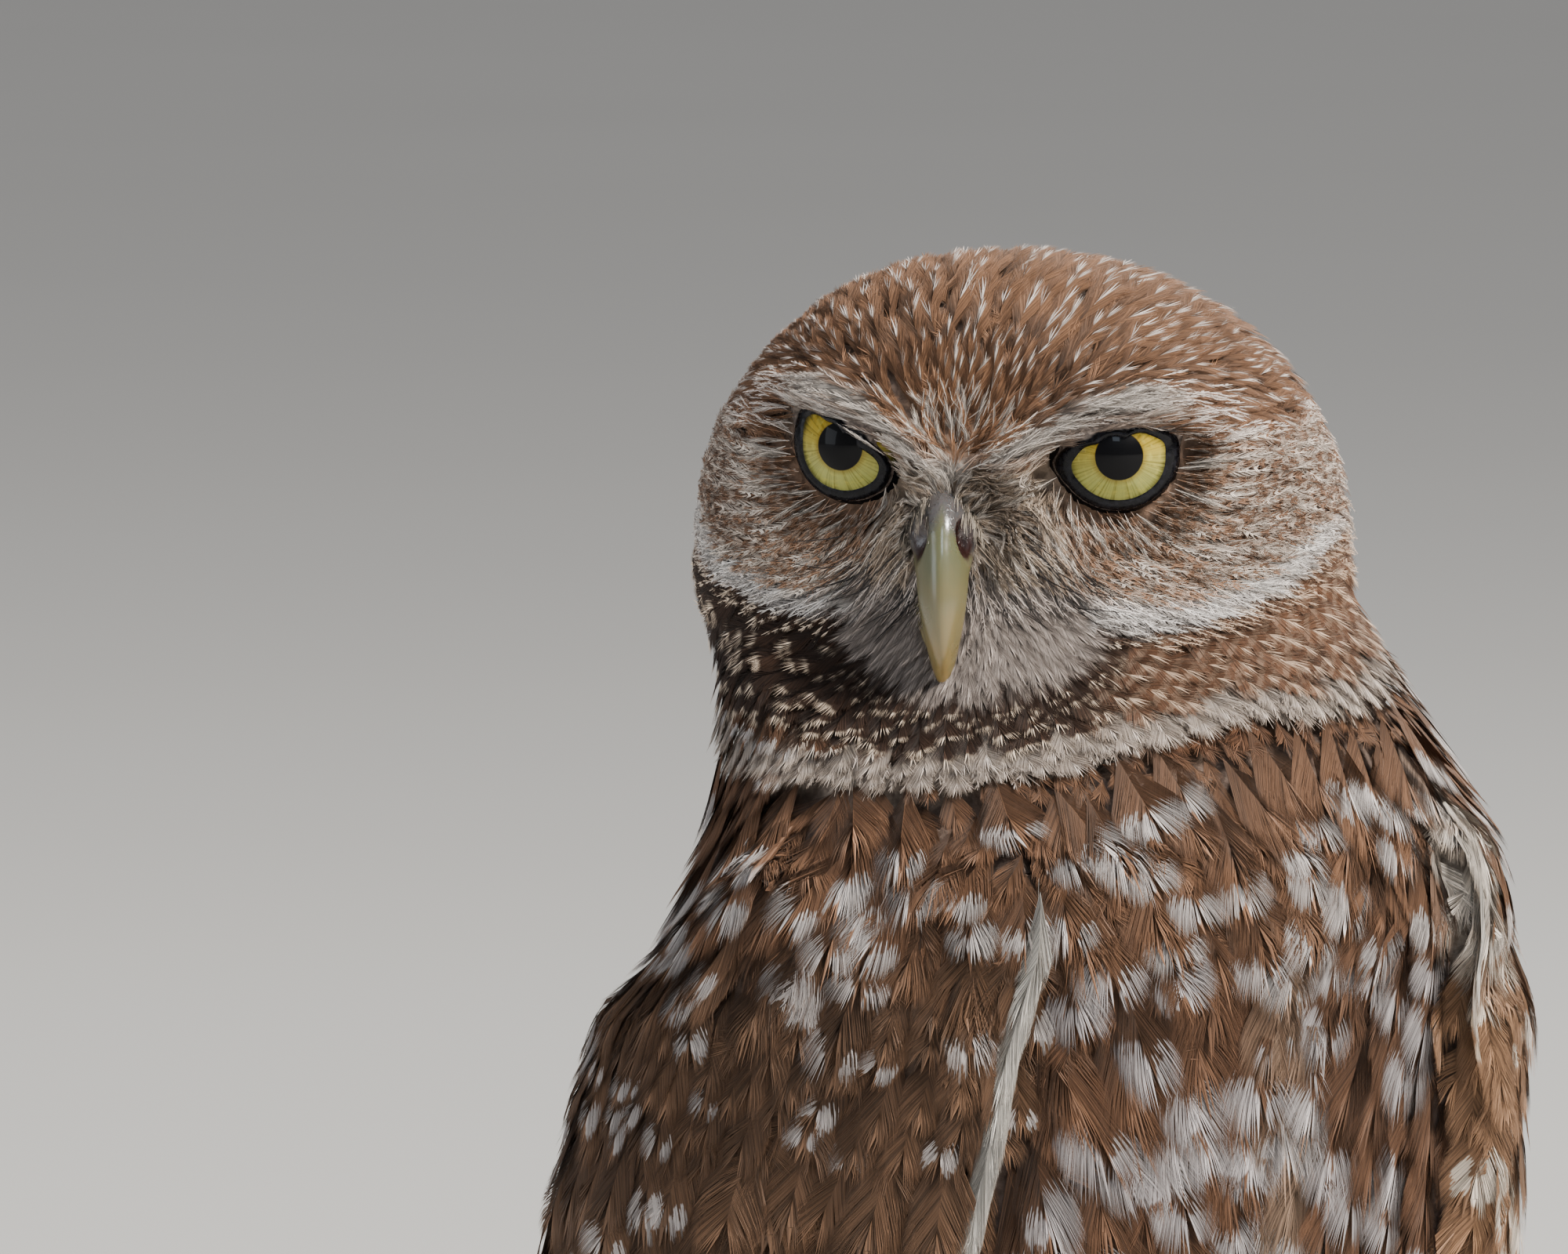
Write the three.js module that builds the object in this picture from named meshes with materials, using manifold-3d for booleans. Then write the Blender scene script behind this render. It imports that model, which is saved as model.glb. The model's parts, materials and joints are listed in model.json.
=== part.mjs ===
// A burrowing owl at life size, standing, with its head turned over its right shoulder.
// Millimetres, +Z up. The trunk faces -Y, so +X is the owl's own left side.
// Each shape is a sphere whose vertices are moved by a function of named sizes. The flesh is
// modelled whole and then parted with thin cuts, so that the pieces meet without overlapping.

import * as THREE from "three";
import { mergeVertices } from "three/addons/utils/BufferGeometryUtils.js";
import Module from "manifold-3d";

const wasm = await Module();
wasm.setup();

const DEG = Math.PI / 180;
const PARTING_GAP = 0.3; // left between two neighbouring solids
const BIG = 400; // wider than the whole owl, for the cutting blocks

// Head: its centre on the neck, and how it is turned.
const HEAD = {
  centre: [-2.7, -1.3, 196],
  turn: -46 * DEG,
  nod: 10 * DEG,
  lean: 1.3 * DEG,
  halfWidth: 30.4,
  front: 22.5,
  back: 27.5,
  crown: 26,
  jaw: 27,
  squareness: 2.12,
  crownForward: 3.4,
};
const HEAD_MESH = { columns: 30, rows: 22 };
const EYE = { side: 11.7, forward: 13.6, height: 10.3, radius: 6.7 };
const FACE = {
  brow: { side: 11, height: 17.5, spread: 6.5, rise: 1.7 },
  socket: { spread: 5.5, depth: 2.2 },
  billMound: { height: 3.5, spread: 7, rise: 3.2 },
  cheek: { side: 23, height: -9, spread: 11, rise: 2.4 },
};

// Bill: its line in the head's own frame, as forward and up, with the half sizes across it.
const UPPER_BILL = [
  { forward: 19, up: 5.0, halfWidth: 3.4, halfDepth: 4.6 },
  { forward: 24.2, up: 4.6, halfWidth: 3.7, halfDepth: 4.4 },
  { forward: 27.6, up: 0.6, halfWidth: 3.0, halfDepth: 3.6 },
  { forward: 28.7, up: -4.6, halfWidth: 1.95, halfDepth: 2.5 },
  { forward: 28.6, up: -9.6, halfWidth: 0.5, halfDepth: 0.7 },
];
const LOWER_BILL = [
  { forward: 18.5, up: -1.5, halfWidth: 2.4, halfDepth: 1.9 },
  { forward: 22.6, up: -3.6, halfWidth: 2.1, halfDepth: 1.7 },
  { forward: 25.2, up: -6.6, halfWidth: 1.2, halfDepth: 1.0 },
];

// Torso: level sections from the vent to the root of the head.
const TORSO = [
  { z: 47, halfWidth: 8, halfDepth: 8, centreX: 0, centreY: 14 },
  { z: 54, halfWidth: 18, halfDepth: 17, centreX: 0, centreY: 13 },
  { z: 62, halfWidth: 25, halfDepth: 23.5, centreX: 0, centreY: 11 },
  { z: 76, halfWidth: 32.5, halfDepth: 30.5, centreX: 0, centreY: 8 },
  { z: 92, halfWidth: 38, halfDepth: 35.5, centreX: 0, centreY: 5.5 },
  { z: 110, halfWidth: 42, halfDepth: 38.5, centreX: 0, centreY: 3.5 },
  { z: 126, halfWidth: 44, halfDepth: 39.5, centreX: 0, centreY: 1.5 },
  { z: 141, halfWidth: 43.6, halfDepth: 38.2, centreX: -0.2, centreY: -1.5 },
  { z: 155, halfWidth: 41.6, halfDepth: 37, centreX: 0, centreY: -5.8 },
  { z: 163, halfWidth: 40, halfDepth: 35.3, centreX: 0.8, centreY: -9.5 },
  { z: 171, halfWidth: 37, halfDepth: 31.2, centreX: 1.2, centreY: -8.4 },
  { z: 179, halfWidth: 35, halfDepth: 27.5, centreX: 2, centreY: -2.5 },
  { z: 187, halfWidth: 31.5, halfDepth: 25, centreX: 0, centreY: -1 },
  { z: 196, halfWidth: 24, halfDepth: 20, centreX: 0, centreY: -1 },
];
// Under the bill the throat slopes back to the head, in the head's own frame.
const THROAT = { forward: 26, up: -12, slope: 31 * DEG };
const TORSO_BOTTOM = 44;
const TORSO_TOP = 200;

// Folded wing: a band round the torso's side. Angles run from the breast (0) to the back (180).
const WING = [
  { z: 22, halfWidth: 15, halfDepth: 13, centreY: 40, from: 126, to: 160, proud: 1.6 },
  { z: 34, halfWidth: 20, halfDepth: 17, centreY: 34.5, from: 112, to: 166, proud: 2.0 },
  { z: 52, halfWidth: 28, halfDepth: 23, centreY: 25, from: 90, to: 170, proud: 2.6 },
  { z: 70, halfWidth: 34.5, halfDepth: 29, centreY: 15.5, from: 70, to: 171, proud: 3.2 },
  { z: 90, halfWidth: 38.5, halfDepth: 34.5, centreY: 8, from: 54, to: 167, proud: 3.8 },
  { z: 110, halfWidth: 42, halfDepth: 38.2, centreY: 4, from: 43, to: 160, proud: 4.4 },
  { z: 126, halfWidth: 44, halfDepth: 39.5, centreY: 1.5, from: 37, to: 151, proud: 4.8 },
  { z: 141, halfWidth: 43.6, halfDepth: 38.2, centreY: -1.5, from: 35, to: 140, proud: 4.4 },
  { z: 154, halfWidth: 41.8, halfDepth: 37.2, centreY: -5.5, from: 37, to: 130, proud: 4.3 },
  { z: 163, halfWidth: 40, halfDepth: 35.3, centreY: -8.8, from: 45, to: 120, proud: 3 },
];
const WING_SUNK = 3.2; // how far the wing's inner face lies below the torso's surface
const WING_EDGE = 0.55; // lower is a blunter front and back edge

// Tail: a flat fan below the wing tips.
const TAIL = {
  root: [0, 24, 90],
  tip: [0, 46, 14],
  rootHalfWidth: 12,
  tipHalfWidth: 23,
  rootHalfThickness: 4.2,
  tipHalfThickness: 1.3,
};

// Legs: the place of each joint of the left leg, which is mirrored for the right one.
const LEG = {
  hip: [16, 0, 82],
  knee: [14.5, 4, 62],
  heel: [13.5, 10, 47],
  ankle: [14.5, 4.5, 3.5],
  thighRadius: 13.5,
  heelRadius: 5.2,
  shankRadius: 3.3,
  ankleRadius: 3.0,
};
const TOES = [
  { name: "inner", heading: -14, length: 19, radius: 2.3 },
  { name: "middle", heading: 8, length: 23, radius: 2.4 },
  { name: "outer", heading: 62, length: 19, radius: 2.2 },
  { name: "hind", heading: 190, length: 13, radius: 2.2 },
];
const TOE_SINK = 0.35; // how much of each pad is flattened by the ground
const FOOT_PAD = { radius: 4.4, height: 3.1 };
const CLAW = { length: 8.2, radius: 1.15, arch: 1.5, tipRadius: 0.3, clear: 0.5 };

const mix = THREE.MathUtils.lerp;
const bump = (distance, spread) => Math.exp(-((distance / spread) ** 2));

// Value of one field of a table of stations, by a smooth curve through them.
function along(stations, key, field, at) {
  const last = stations.length - 1;
  if (at <= stations[0][key]) return stations[0][field];
  if (at >= stations[last][key]) return stations[last][field];
  let i = 0;
  while (at > stations[i + 1][key]) i += 1;
  const slope = (j) => {
    const a = stations[Math.max(0, j - 1)];
    const b = stations[Math.min(last, j + 1)];
    return (b[field] - a[field]) / (b[key] - a[key]);
  };
  const span = stations[i + 1][key] - stations[i][key];
  const t = (at - stations[i][key]) / span;
  const start = stations[i][field] * (2 * t ** 3 - 3 * t ** 2 + 1);
  const end = stations[i + 1][field] * (3 * t ** 2 - 2 * t ** 3);
  const lean = slope(i) * (t ** 3 - 2 * t ** 2 + t) + slope(i + 1) * (t ** 3 - t ** 2);
  return start + end + lean * span;
}

// A closed surface: each vertex of a sphere goes where place(share, turn) says. The share
// runs from pole to pole, 0 to 1, and the turn goes once round.
function shaped(columns, rows, place) {
  const geometry = new THREE.SphereGeometry(1, columns, rows);
  const position = geometry.getAttribute("position");
  const unit = new THREE.Vector3();
  for (let i = 0; i < position.count; i += 1) {
    unit.fromBufferAttribute(position, i);
    const share = Math.acos(THREE.MathUtils.clamp(unit.y, -1, 1)) / Math.PI;
    const turn = Math.atan2(unit.z, unit.x);
    const p = place(share, turn, Math.hypot(unit.x, unit.z));
    position.setXYZ(i, p.x, p.y, p.z);
  }
  geometry.deleteAttribute("normal");
  geometry.deleteAttribute("uv");
  return mergeVertices(geometry, 1e-3);
}

// The same surface moved outwards by a distance, to cut a neighbour with.
function grown(geometry, distance = PARTING_GAP) {
  const wider = geometry.clone();
  wider.computeVertexNormals();
  const position = wider.getAttribute("position");
  const normal = wider.getAttribute("normal");
  for (let i = 0; i < position.count; i += 1) {
    position.setXYZ(
      i,
      position.getX(i) + normal.getX(i) * distance,
      position.getY(i) + normal.getY(i) * distance,
      position.getZ(i) + normal.getZ(i) * distance,
    );
  }
  wider.deleteAttribute("normal");
  return wider;
}

function turnedOutside(geometry) {
  const index = geometry.index.array;
  const p = geometry.getAttribute("position");
  const [a, b, c] = [new THREE.Vector3(), new THREE.Vector3(), new THREE.Vector3()];
  let volume = 0;
  for (let i = 0; i < index.length; i += 3) {
    a.fromBufferAttribute(p, index[i]);
    b.fromBufferAttribute(p, index[i + 1]);
    c.fromBufferAttribute(p, index[i + 2]);
    volume += a.dot(b.cross(c));
  }
  if (volume < 0) {
    for (let i = 0; i < index.length; i += 3) {
      [index[i + 1], index[i + 2]] = [index[i + 2], index[i + 1]];
    }
  }
  return geometry;
}

function solidOf(geometry) {
  return new wasm.Manifold(
    new wasm.Mesh({
      numProp: 3,
      vertProperties: new Float32Array(geometry.getAttribute("position").array),
      triVerts: new Uint32Array(geometry.index.array),
    }),
  );
}

function geometryOf(solid) {
  const mesh = solid.getMesh();
  return new THREE.BufferGeometry()
    .setAttribute("position", new THREE.BufferAttribute(new Float32Array(mesh.vertProperties), 3))
    .setIndex(new THREE.BufferAttribute(new Uint32Array(mesh.triVerts), 1));
}

// The largest body of a cut solid, without crumbs.
function mainBody(solid) {
  const bodies = solid.decompose();
  return bodies.reduce((best, body) => (body.volume() > best.volume() ? body : best));
}

// A block on one side of a plane through a point.
function halfSpace(point, normal, offset = 0) {
  const box = new THREE.BoxGeometry(BIG, BIG, BIG);
  box.deleteAttribute("normal");
  box.deleteAttribute("uv");
  const up = new THREE.Vector3(0, 0, 1);
  const n = normal.clone().normalize();
  box.translate(0, 0, BIG / 2 + offset);
  box.applyQuaternion(new THREE.Quaternion().setFromUnitVectors(up, n));
  box.translate(point.x, point.y, point.z);
  return solidOf(mergeVertices(box, 1e-3));
}

function mirrored(geometry) {
  return turnedOutside(geometry.clone().scale(-1, 1, 1));
}

const vector = (list) => new THREE.Vector3(...list);

// Places a point of the head's own frame (-Y forward, +X its left) in the owl's frame.
const headMatrix = new THREE.Matrix4()
  .makeRotationFromEuler(new THREE.Euler(HEAD.nod, HEAD.lean, HEAD.turn, "ZXY"))
  .setPosition(vector(HEAD.centre));

// Head: an egg with a flat face, brows, eye sockets and a mound round the bill.
function headShape() {
  const { front, back, crown, jaw, halfWidth, squareness, crownForward } = HEAD;
  const surface = (share, turn) => {
    const polar = share * Math.PI;
    const side = Math.sin(polar) * Math.cos(turn);
    const up = Math.sin(polar) * Math.sin(turn);
    const forward = Math.cos(polar);
    const reach =
      (Math.abs(side) / halfWidth) ** squareness +
      (Math.abs(forward) / (forward > 0 ? front : back)) ** squareness +
      (Math.abs(up) / (up > 0 ? crown : jaw)) ** squareness;
    const radius = reach ** (-1 / squareness);
    const at = new THREE.Vector3(side * radius, -forward * radius, up * radius);
    at.y -= crownForward * THREE.MathUtils.smoothstep(at.z, 0, crown);
    const { brow, socket, billMound, cheek } = FACE;
    const from = (s, h) => Math.hypot(Math.abs(at.x) - s, at.z - h);
    const browRise = brow.rise * bump(from(brow.side, brow.height), brow.spread);
    const socketDip = socket.depth * bump(from(EYE.side, EYE.height), socket.spread);
    const mound = billMound.rise * bump(Math.hypot(at.x, at.z - billMound.height), billMound.spread);
    const cheekRise = cheek.rise * bump(from(cheek.side, cheek.height), cheek.spread);
    at.y -= (browRise + mound - socketDip) * THREE.MathUtils.clamp(forward * 2, 0, 1);
    at.x += Math.tanh(at.x / 4) * cheekRise;
    return at;
  };
  return turnedOutside(shaped(HEAD_MESH.columns, HEAD_MESH.rows, surface).applyMatrix4(headMatrix));
}

function eyeShape(side) {
  const ball = new THREE.SphereGeometry(EYE.radius, 12, 9);
  ball.deleteAttribute("normal");
  ball.deleteAttribute("uv");
  ball.translate(side * EYE.side, -EYE.forward, EYE.height);
  return mergeVertices(ball.applyMatrix4(headMatrix), 1e-3);
}

// Half of the bill: oval sections across its curved line.
function billShape(stations, columns, rows) {
  const line = new THREE.CatmullRomCurve3(
    stations.map((s) => new THREE.Vector3(0, -s.forward, s.up)),
  );
  const table = stations.map((s, i) => ({ ...s, part: i / (stations.length - 1) }));
  const tip = 0.12; // share of the surface that closes each end
  const side = new THREE.Vector3(1, 0, 0);
  const place = (share, turn, roundness) => {
    const part = THREE.MathUtils.clamp((share - tip) / (1 - 2 * tip), 0, 1);
    const closing = Math.min(1, roundness / Math.sin(tip * Math.PI));
    const tangent = line.getTangent(part);
    const ridge = new THREE.Vector3().crossVectors(side, tangent);
    const halfWidth = along(table, "part", "halfWidth", part) * closing;
    const halfDepth = along(table, "part", "halfDepth", part) * closing;
    const overrun = (share < tip ? share - tip : Math.max(0, share - 1 + tip)) / tip;
    return line
      .getPoint(part)
      .addScaledVector(side, Math.cos(turn) * halfWidth)
      .addScaledVector(ridge, Math.sin(turn) * halfDepth)
      .addScaledVector(tangent, overrun * along(table, "part", "halfWidth", part) * 0.9);
  };
  return turnedOutside(shaped(columns, rows, place).applyMatrix4(headMatrix));
}

// Torso: breast, back and neck in one, from level oval sections.
function torsoShape() {
  const place = (share, turn, roundness) => {
    const z = mix(TORSO_TOP, TORSO_BOTTOM, share);
    const closing = Math.min(1, roundness * 3.4);
    return new THREE.Vector3(
      along(TORSO, "z", "centreX", z) + Math.cos(turn) * along(TORSO, "z", "halfWidth", z) * closing,
      along(TORSO, "z", "centreY", z) + Math.sin(turn) * along(TORSO, "z", "halfDepth", z) * closing,
      z,
    );
  };
  return turnedOutside(shaped(24, 19, place));
}

// Folded left wing: a curved band with a blunt front edge that thins to the wing tip.
function wingShape() {
  const top = WING[WING.length - 1].z + 5;
  const bottom = WING[0].z - 6;
  const place = (share, turn, roundness) => {
    const z = mix(top, bottom, share);
    const get = (field) => along(WING, "z", field, z);
    const closing = Math.min(1, roundness * 2.6);
    const middle = (get("from") + get("to")) / 2;
    const reach = ((get("to") - get("from")) / 2) * closing;
    const rounded = (value) => Math.sign(value) * Math.abs(value) ** WING_EDGE;
    const angle = (middle + reach * Math.cos(turn)) * DEG;
    const lift = rounded(Math.sin(turn)) * closing;
    const offset = lift > 0 ? lift * get("proud") : lift * Math.min(WING_SUNK, get("proud"));
    return new THREE.Vector3(
      Math.sin(angle) * (get("halfWidth") + offset),
      get("centreY") - Math.cos(angle) * (get("halfDepth") + offset),
      z,
    );
  };
  return turnedOutside(shaped(16, 17, place));
}

// Tail: a fan that widens and thins to a rounded end.
function tailShape() {
  const root = vector(TAIL.root);
  const tip = vector(TAIL.tip);
  const run = tip.clone().sub(root);
  const outward = new THREE.Vector3(0, run.z, -run.y).normalize();
  const place = (share, turn, roundness) => {
    const closing = Math.min(1, roundness * 3.2);
    const across = Math.cos(turn) * closing;
    const halfWidth = mix(TAIL.rootHalfWidth, TAIL.tipHalfWidth, share);
    const halfThickness = mix(TAIL.rootHalfThickness, TAIL.tipHalfThickness, share);
    return root
      .clone()
      .addScaledVector(run, share)
      .add(new THREE.Vector3(across * halfWidth, 0, share * 4 * across ** 2))
      .addScaledVector(outward, Math.sin(turn) * halfThickness * closing - share * 3 * across ** 2);
  };
  return turnedOutside(shaped(16, 10, place));
}

// A limb along a line, round in section, with a radius that runs through given values.
function limbShape(points, radii, columns, rows, bluntness = 2) {
  const line = new THREE.CatmullRomCurve3(points.map(vector));
  const table = radii.map((radius, i) => ({ part: i / (radii.length - 1), radius }));
  const forward = new THREE.Vector3(0, 1, 0);
  const place = (share, turn, roundness) => {
    const tangent = line.getTangent(share);
    const side = new THREE.Vector3().crossVectors(tangent, forward).normalize();
    const depth = new THREE.Vector3().crossVectors(side, tangent);
    const radius = along(table, "part", "radius", share) * Math.min(1, roundness * bluntness);
    return line
      .getPoint(share)
      .addScaledVector(side, Math.cos(turn) * radius)
      .addScaledVector(depth, Math.sin(turn) * radius);
  };
  return turnedOutside(shaped(columns, rows, place));
}

const heading = (degrees) => new THREE.Vector3(Math.sin(degrees * DEG), -Math.cos(degrees * DEG), 0);

// A toe from the ankle outwards: two swollen pads and a raised knuckle, flat below.
function toeShape({ heading: degrees, length, radius }) {
  const way = heading(degrees);
  const ankle = vector(LEG.ankle);
  const place = (share, turn, roundness) => {
    const swell = 1 + 0.14 * Math.cos(share * Math.PI * 5);
    const r = radius * swell * Math.min(1, roundness * 1.8) * mix(1.12, 0.78, share);
    const arch = 1.2 * Math.sin(Math.min(1, share * 2.2) * Math.PI);
    const side = new THREE.Vector3(-way.y, way.x, 0);
    return new THREE.Vector3(ankle.x, ankle.y, 0)
      .addScaledVector(way, share * length)
      .addScaledVector(side, Math.cos(turn) * r)
      .add(new THREE.Vector3(0, 0, radius - TOE_SINK + arch * 0.5 * (1 - share) + Math.sin(turn) * r));
  };
  return turnedOutside(shaped(8, 7, place));
}

// The ball of the foot, which joins the toes under the ankle.
function padShape() {
  const ball = new THREE.SphereGeometry(1, 10, 6);
  ball.deleteAttribute("normal");
  ball.deleteAttribute("uv");
  ball.scale(FOOT_PAD.radius, FOOT_PAD.radius, FOOT_PAD.height);
  ball.translate(LEG.ankle[0], LEG.ankle[1], FOOT_PAD.height - TOE_SINK);
  return mergeVertices(ball, 1e-3);
}

// A claw: a cone bent down from the top of the toe's end.
function clawShape({ heading: degrees, length, radius }) {
  const way = heading(degrees);
  const ankle = vector(LEG.ankle);
  const side = new THREE.Vector3(-way.y, way.x, 0);
  const start = length - 1.5;
  const startHeight = radius + 0.4;
  const place = (share, turn, roundness) => {
    const r = mix(CLAW.radius, CLAW.tipRadius, share) * Math.min(1, roundness * 2);
    const fall = (startHeight - CLAW.clear - CLAW.tipRadius) * share ** 1.8;
    const rise = CLAW.arch * Math.sin(share * Math.PI);
    return new THREE.Vector3(ankle.x, ankle.y, startHeight + rise - fall)
      .addScaledVector(way, start + share * CLAW.length * 0.86)
      .addScaledVector(side, Math.cos(turn) * r)
      .add(new THREE.Vector3(0, 0, Math.sin(turn) * r));
  };
  return turnedOutside(shaped(6, 6, place));
}

const material = (colour, roughness, metalness = 0) =>
  new THREE.MeshStandardMaterial({ color: colour, roughness, metalness });
const FINISH = {
  brownPlumage: material(0x6e4f3c, 0.85),
  palePlumage: material(0xb9a999, 0.85),
  shankPlumage: material(0xc4b8a8, 0.85),
  bareToe: material(0x8c8170, 0.6),
  claw: material(0x1d1a19, 0.35),
  bill: material(0xa5a384, 0.35),
  eye: material(0xb5a516, 0.08),
};

const owl = new THREE.Group();

function addNode(name, solid, finish) {
  const mesh = new THREE.Mesh(geometryOf(mainBody(solid)), finish);
  mesh.name = name;
  owl.add(mesh);
}

// Both sides of a shape that is modelled on the left.
const pair = (shape) => [
  { side: "left", shape },
  { side: "right", shape: mirrored(shape) },
];

// Head, neck and trunk are one body of flesh, parted with two thin cuts.
const upperBill = billShape(UPPER_BILL, 12, 14);
const lowerBill = billShape(LOWER_BILL, 10, 8);
const eyes = [
  { side: "left", shape: eyeShape(1) },
  { side: "right", shape: eyeShape(-1) },
];
const wings = pair(wingShape());
const tail = tailShape();

const throatPoint = new THREE.Vector3(0, -THROAT.forward, THROAT.up).applyMatrix4(headMatrix);
const throatUp = new THREE.Vector3(0, -Math.sin(THROAT.slope), Math.cos(THROAT.slope));
const aboveThroat = halfSpace(throatPoint, throatUp.transformDirection(headMatrix));

let flesh = solidOf(torsoShape()).subtract(aboveThroat).add(solidOf(headShape()));
for (const cutter of [upperBill, lowerBill, tail, ...[...eyes, ...wings].map((p) => p.shape)]) {
  flesh = flesh.subtract(solidOf(grown(cutter)));
}
const headUp = new THREE.Vector3(0, 0, 1).transformDirection(headMatrix);
const underHead = new THREE.Vector3(0, 0, -18.5).applyMatrix4(headMatrix);
const neckBase = new THREE.Vector3(0, 0, 167);
const neckUp = new THREE.Vector3(0, -0.09, 1).normalize();

const aboveJaw = halfSpace(underHead, headUp, PARTING_GAP / 2);
const belowJaw = halfSpace(underHead, headUp.clone().negate(), PARTING_GAP / 2);
const aboveShoulders = halfSpace(neckBase, neckUp, PARTING_GAP / 2);
const belowShoulders = halfSpace(neckBase, neckUp.clone().negate(), PARTING_GAP / 2);

addNode("head", flesh.intersect(aboveJaw), FINISH.brownPlumage);
addNode("neck", flesh.intersect(belowJaw).intersect(aboveShoulders), FINISH.palePlumage);
addNode("trunk", flesh.intersect(belowShoulders), FINISH.brownPlumage);

for (const { side, shape } of eyes) addNode(`eye_${side}`, solidOf(shape), FINISH.eye);
addNode("bill_upper", solidOf(upperBill), FINISH.bill);
addNode("bill_lower", solidOf(lowerBill).subtract(solidOf(grown(upperBill))), FINISH.bill);

// Each wing is parted where the long flight feathers come out from under the coverts.
const tipPoint = new THREE.Vector3(0, 20, 72);
const tipDown = new THREE.Vector3(0, 0.35, -1).normalize();
const tipSide = halfSpace(tipPoint, tipDown, PARTING_GAP / 2);
const armSide = halfSpace(tipPoint, tipDown.clone().negate(), PARTING_GAP / 2);
const tailCutter = solidOf(grown(tail));
for (const { side, shape } of wings) {
  const wing = solidOf(shape).subtract(tailCutter);
  addNode(`wing_${side}`, wing.intersect(armSide), FINISH.brownPlumage);
  addNode(`wingtip_${side}`, wing.intersect(tipSide), FINISH.brownPlumage);
}
addNode("tail", solidOf(tail), FINISH.brownPlumage);

// Legs: each piece is cut back by the one above it, and the ground flattens the toes.
const thigh = limbShape(
  [LEG.hip, LEG.knee, LEG.heel],
  [LEG.thighRadius, LEG.thighRadius * 0.86, LEG.heelRadius],
  16,
  12,
);
const shank = limbShape(
  [LEG.heel.map((v, i) => v + (i === 2 ? 4 : 0)), LEG.heel, LEG.ankle],
  [LEG.shankRadius, LEG.shankRadius, LEG.ankleRadius],
  10,
  8,
  5,
);
const footParts = [padShape(), ...TOES.map(toeShape)];
const joined = (geometries) => geometries.map(solidOf).reduce((a, b) => a.add(b));
const aboveGround = halfSpace(new THREE.Vector3(), new THREE.Vector3(0, 0, 1));
const torsoCutter = solidOf(grown(torsoShape()));
const wingCutters = wings.map(({ shape }) => solidOf(grown(shape)));
const sides = [
  { side: "left", flip: (g) => g },
  { side: "right", flip: mirrored },
];
for (const { side, flip } of sides) {
  let thighSolid = solidOf(flip(thigh)).subtract(torsoCutter).subtract(tailCutter);
  for (const cutter of wingCutters) thighSolid = thighSolid.subtract(cutter);
  addNode(`thigh_${side}`, thighSolid, FINISH.palePlumage);
  const footShapes = footParts.map(flip);
  let foot = joined(footShapes);
  const claws = TOES.map((toe) => ({ toe, shape: flip(clawShape(toe)) }));
  for (const { shape } of claws) foot = foot.subtract(solidOf(grown(shape)));
  const shankSolid = solidOf(flip(shank)).subtract(solidOf(grown(flip(thigh))));
  const footCutter = joined(footShapes.map((shape) => grown(shape)));
  addNode(`shank_${side}`, shankSolid.subtract(footCutter), FINISH.shankPlumage);
  addNode(`foot_${side}`, foot.intersect(aboveGround), FINISH.bareToe);
  for (const { toe, shape } of claws) addNode(`claw_${side}_${toe.name}`, solidOf(shape), FINISH.claw);
}

// The origin is under the middle of the owl's box, on the ground.
const box = new THREE.Box3().setFromObject(owl);
const middle = box.getCenter(new THREE.Vector3());
owl.position.set(-middle.x, -middle.y, -box.min.z);

export default owl;
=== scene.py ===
"""A life-size burrowing owl: skin, feathers, eyes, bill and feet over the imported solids.

Shapes are worked out in millimetres, in the frame of the solids (+Z up, -Y the way the breast
faces), and turned into metres when a mesh is made.
"""

import json
import logging
import math
from dataclasses import dataclass
from enum import IntEnum
from itertools import chain, product
from typing import Sequence

import bpy
import numpy as np
from mathutils import Matrix, Vector
from mathutils.bvhtree import BVHTree

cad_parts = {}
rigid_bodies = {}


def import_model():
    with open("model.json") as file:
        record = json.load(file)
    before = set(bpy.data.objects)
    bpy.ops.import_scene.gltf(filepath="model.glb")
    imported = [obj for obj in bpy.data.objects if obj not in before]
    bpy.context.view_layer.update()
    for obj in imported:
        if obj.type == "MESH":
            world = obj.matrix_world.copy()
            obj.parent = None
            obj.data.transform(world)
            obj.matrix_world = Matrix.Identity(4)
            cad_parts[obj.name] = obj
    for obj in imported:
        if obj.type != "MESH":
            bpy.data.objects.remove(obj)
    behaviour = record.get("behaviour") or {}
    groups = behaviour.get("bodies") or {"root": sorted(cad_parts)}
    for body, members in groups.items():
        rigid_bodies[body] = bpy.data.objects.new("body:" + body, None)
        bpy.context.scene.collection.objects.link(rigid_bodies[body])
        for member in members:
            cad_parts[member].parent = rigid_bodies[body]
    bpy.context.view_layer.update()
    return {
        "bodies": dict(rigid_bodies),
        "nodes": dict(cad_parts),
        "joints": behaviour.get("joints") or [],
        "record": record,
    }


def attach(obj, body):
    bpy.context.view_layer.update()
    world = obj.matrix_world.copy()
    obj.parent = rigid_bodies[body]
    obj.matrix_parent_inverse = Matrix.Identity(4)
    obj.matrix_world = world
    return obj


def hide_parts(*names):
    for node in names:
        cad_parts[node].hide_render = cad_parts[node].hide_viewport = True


log = logging.getLogger("owl")
MM = 0.001
Array = np.ndarray
Colour = tuple[float, float, float]


def linear(red: int, green: int, blue: int) -> Colour:
    """Turns an 8-bit screen colour into the linear colour that shaders take."""
    part = [v / 255 for v in (red, green, blue)]
    return tuple(v / 12.92 if v <= 0.04045 else ((v + 0.055) / 1.055) ** 2.4 for v in part)


def unit(vectors: Array) -> Array:
    """Scales each row to length one."""
    return vectors / np.maximum(np.linalg.norm(vectors, axis=-1, keepdims=True), 1e-9)


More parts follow.
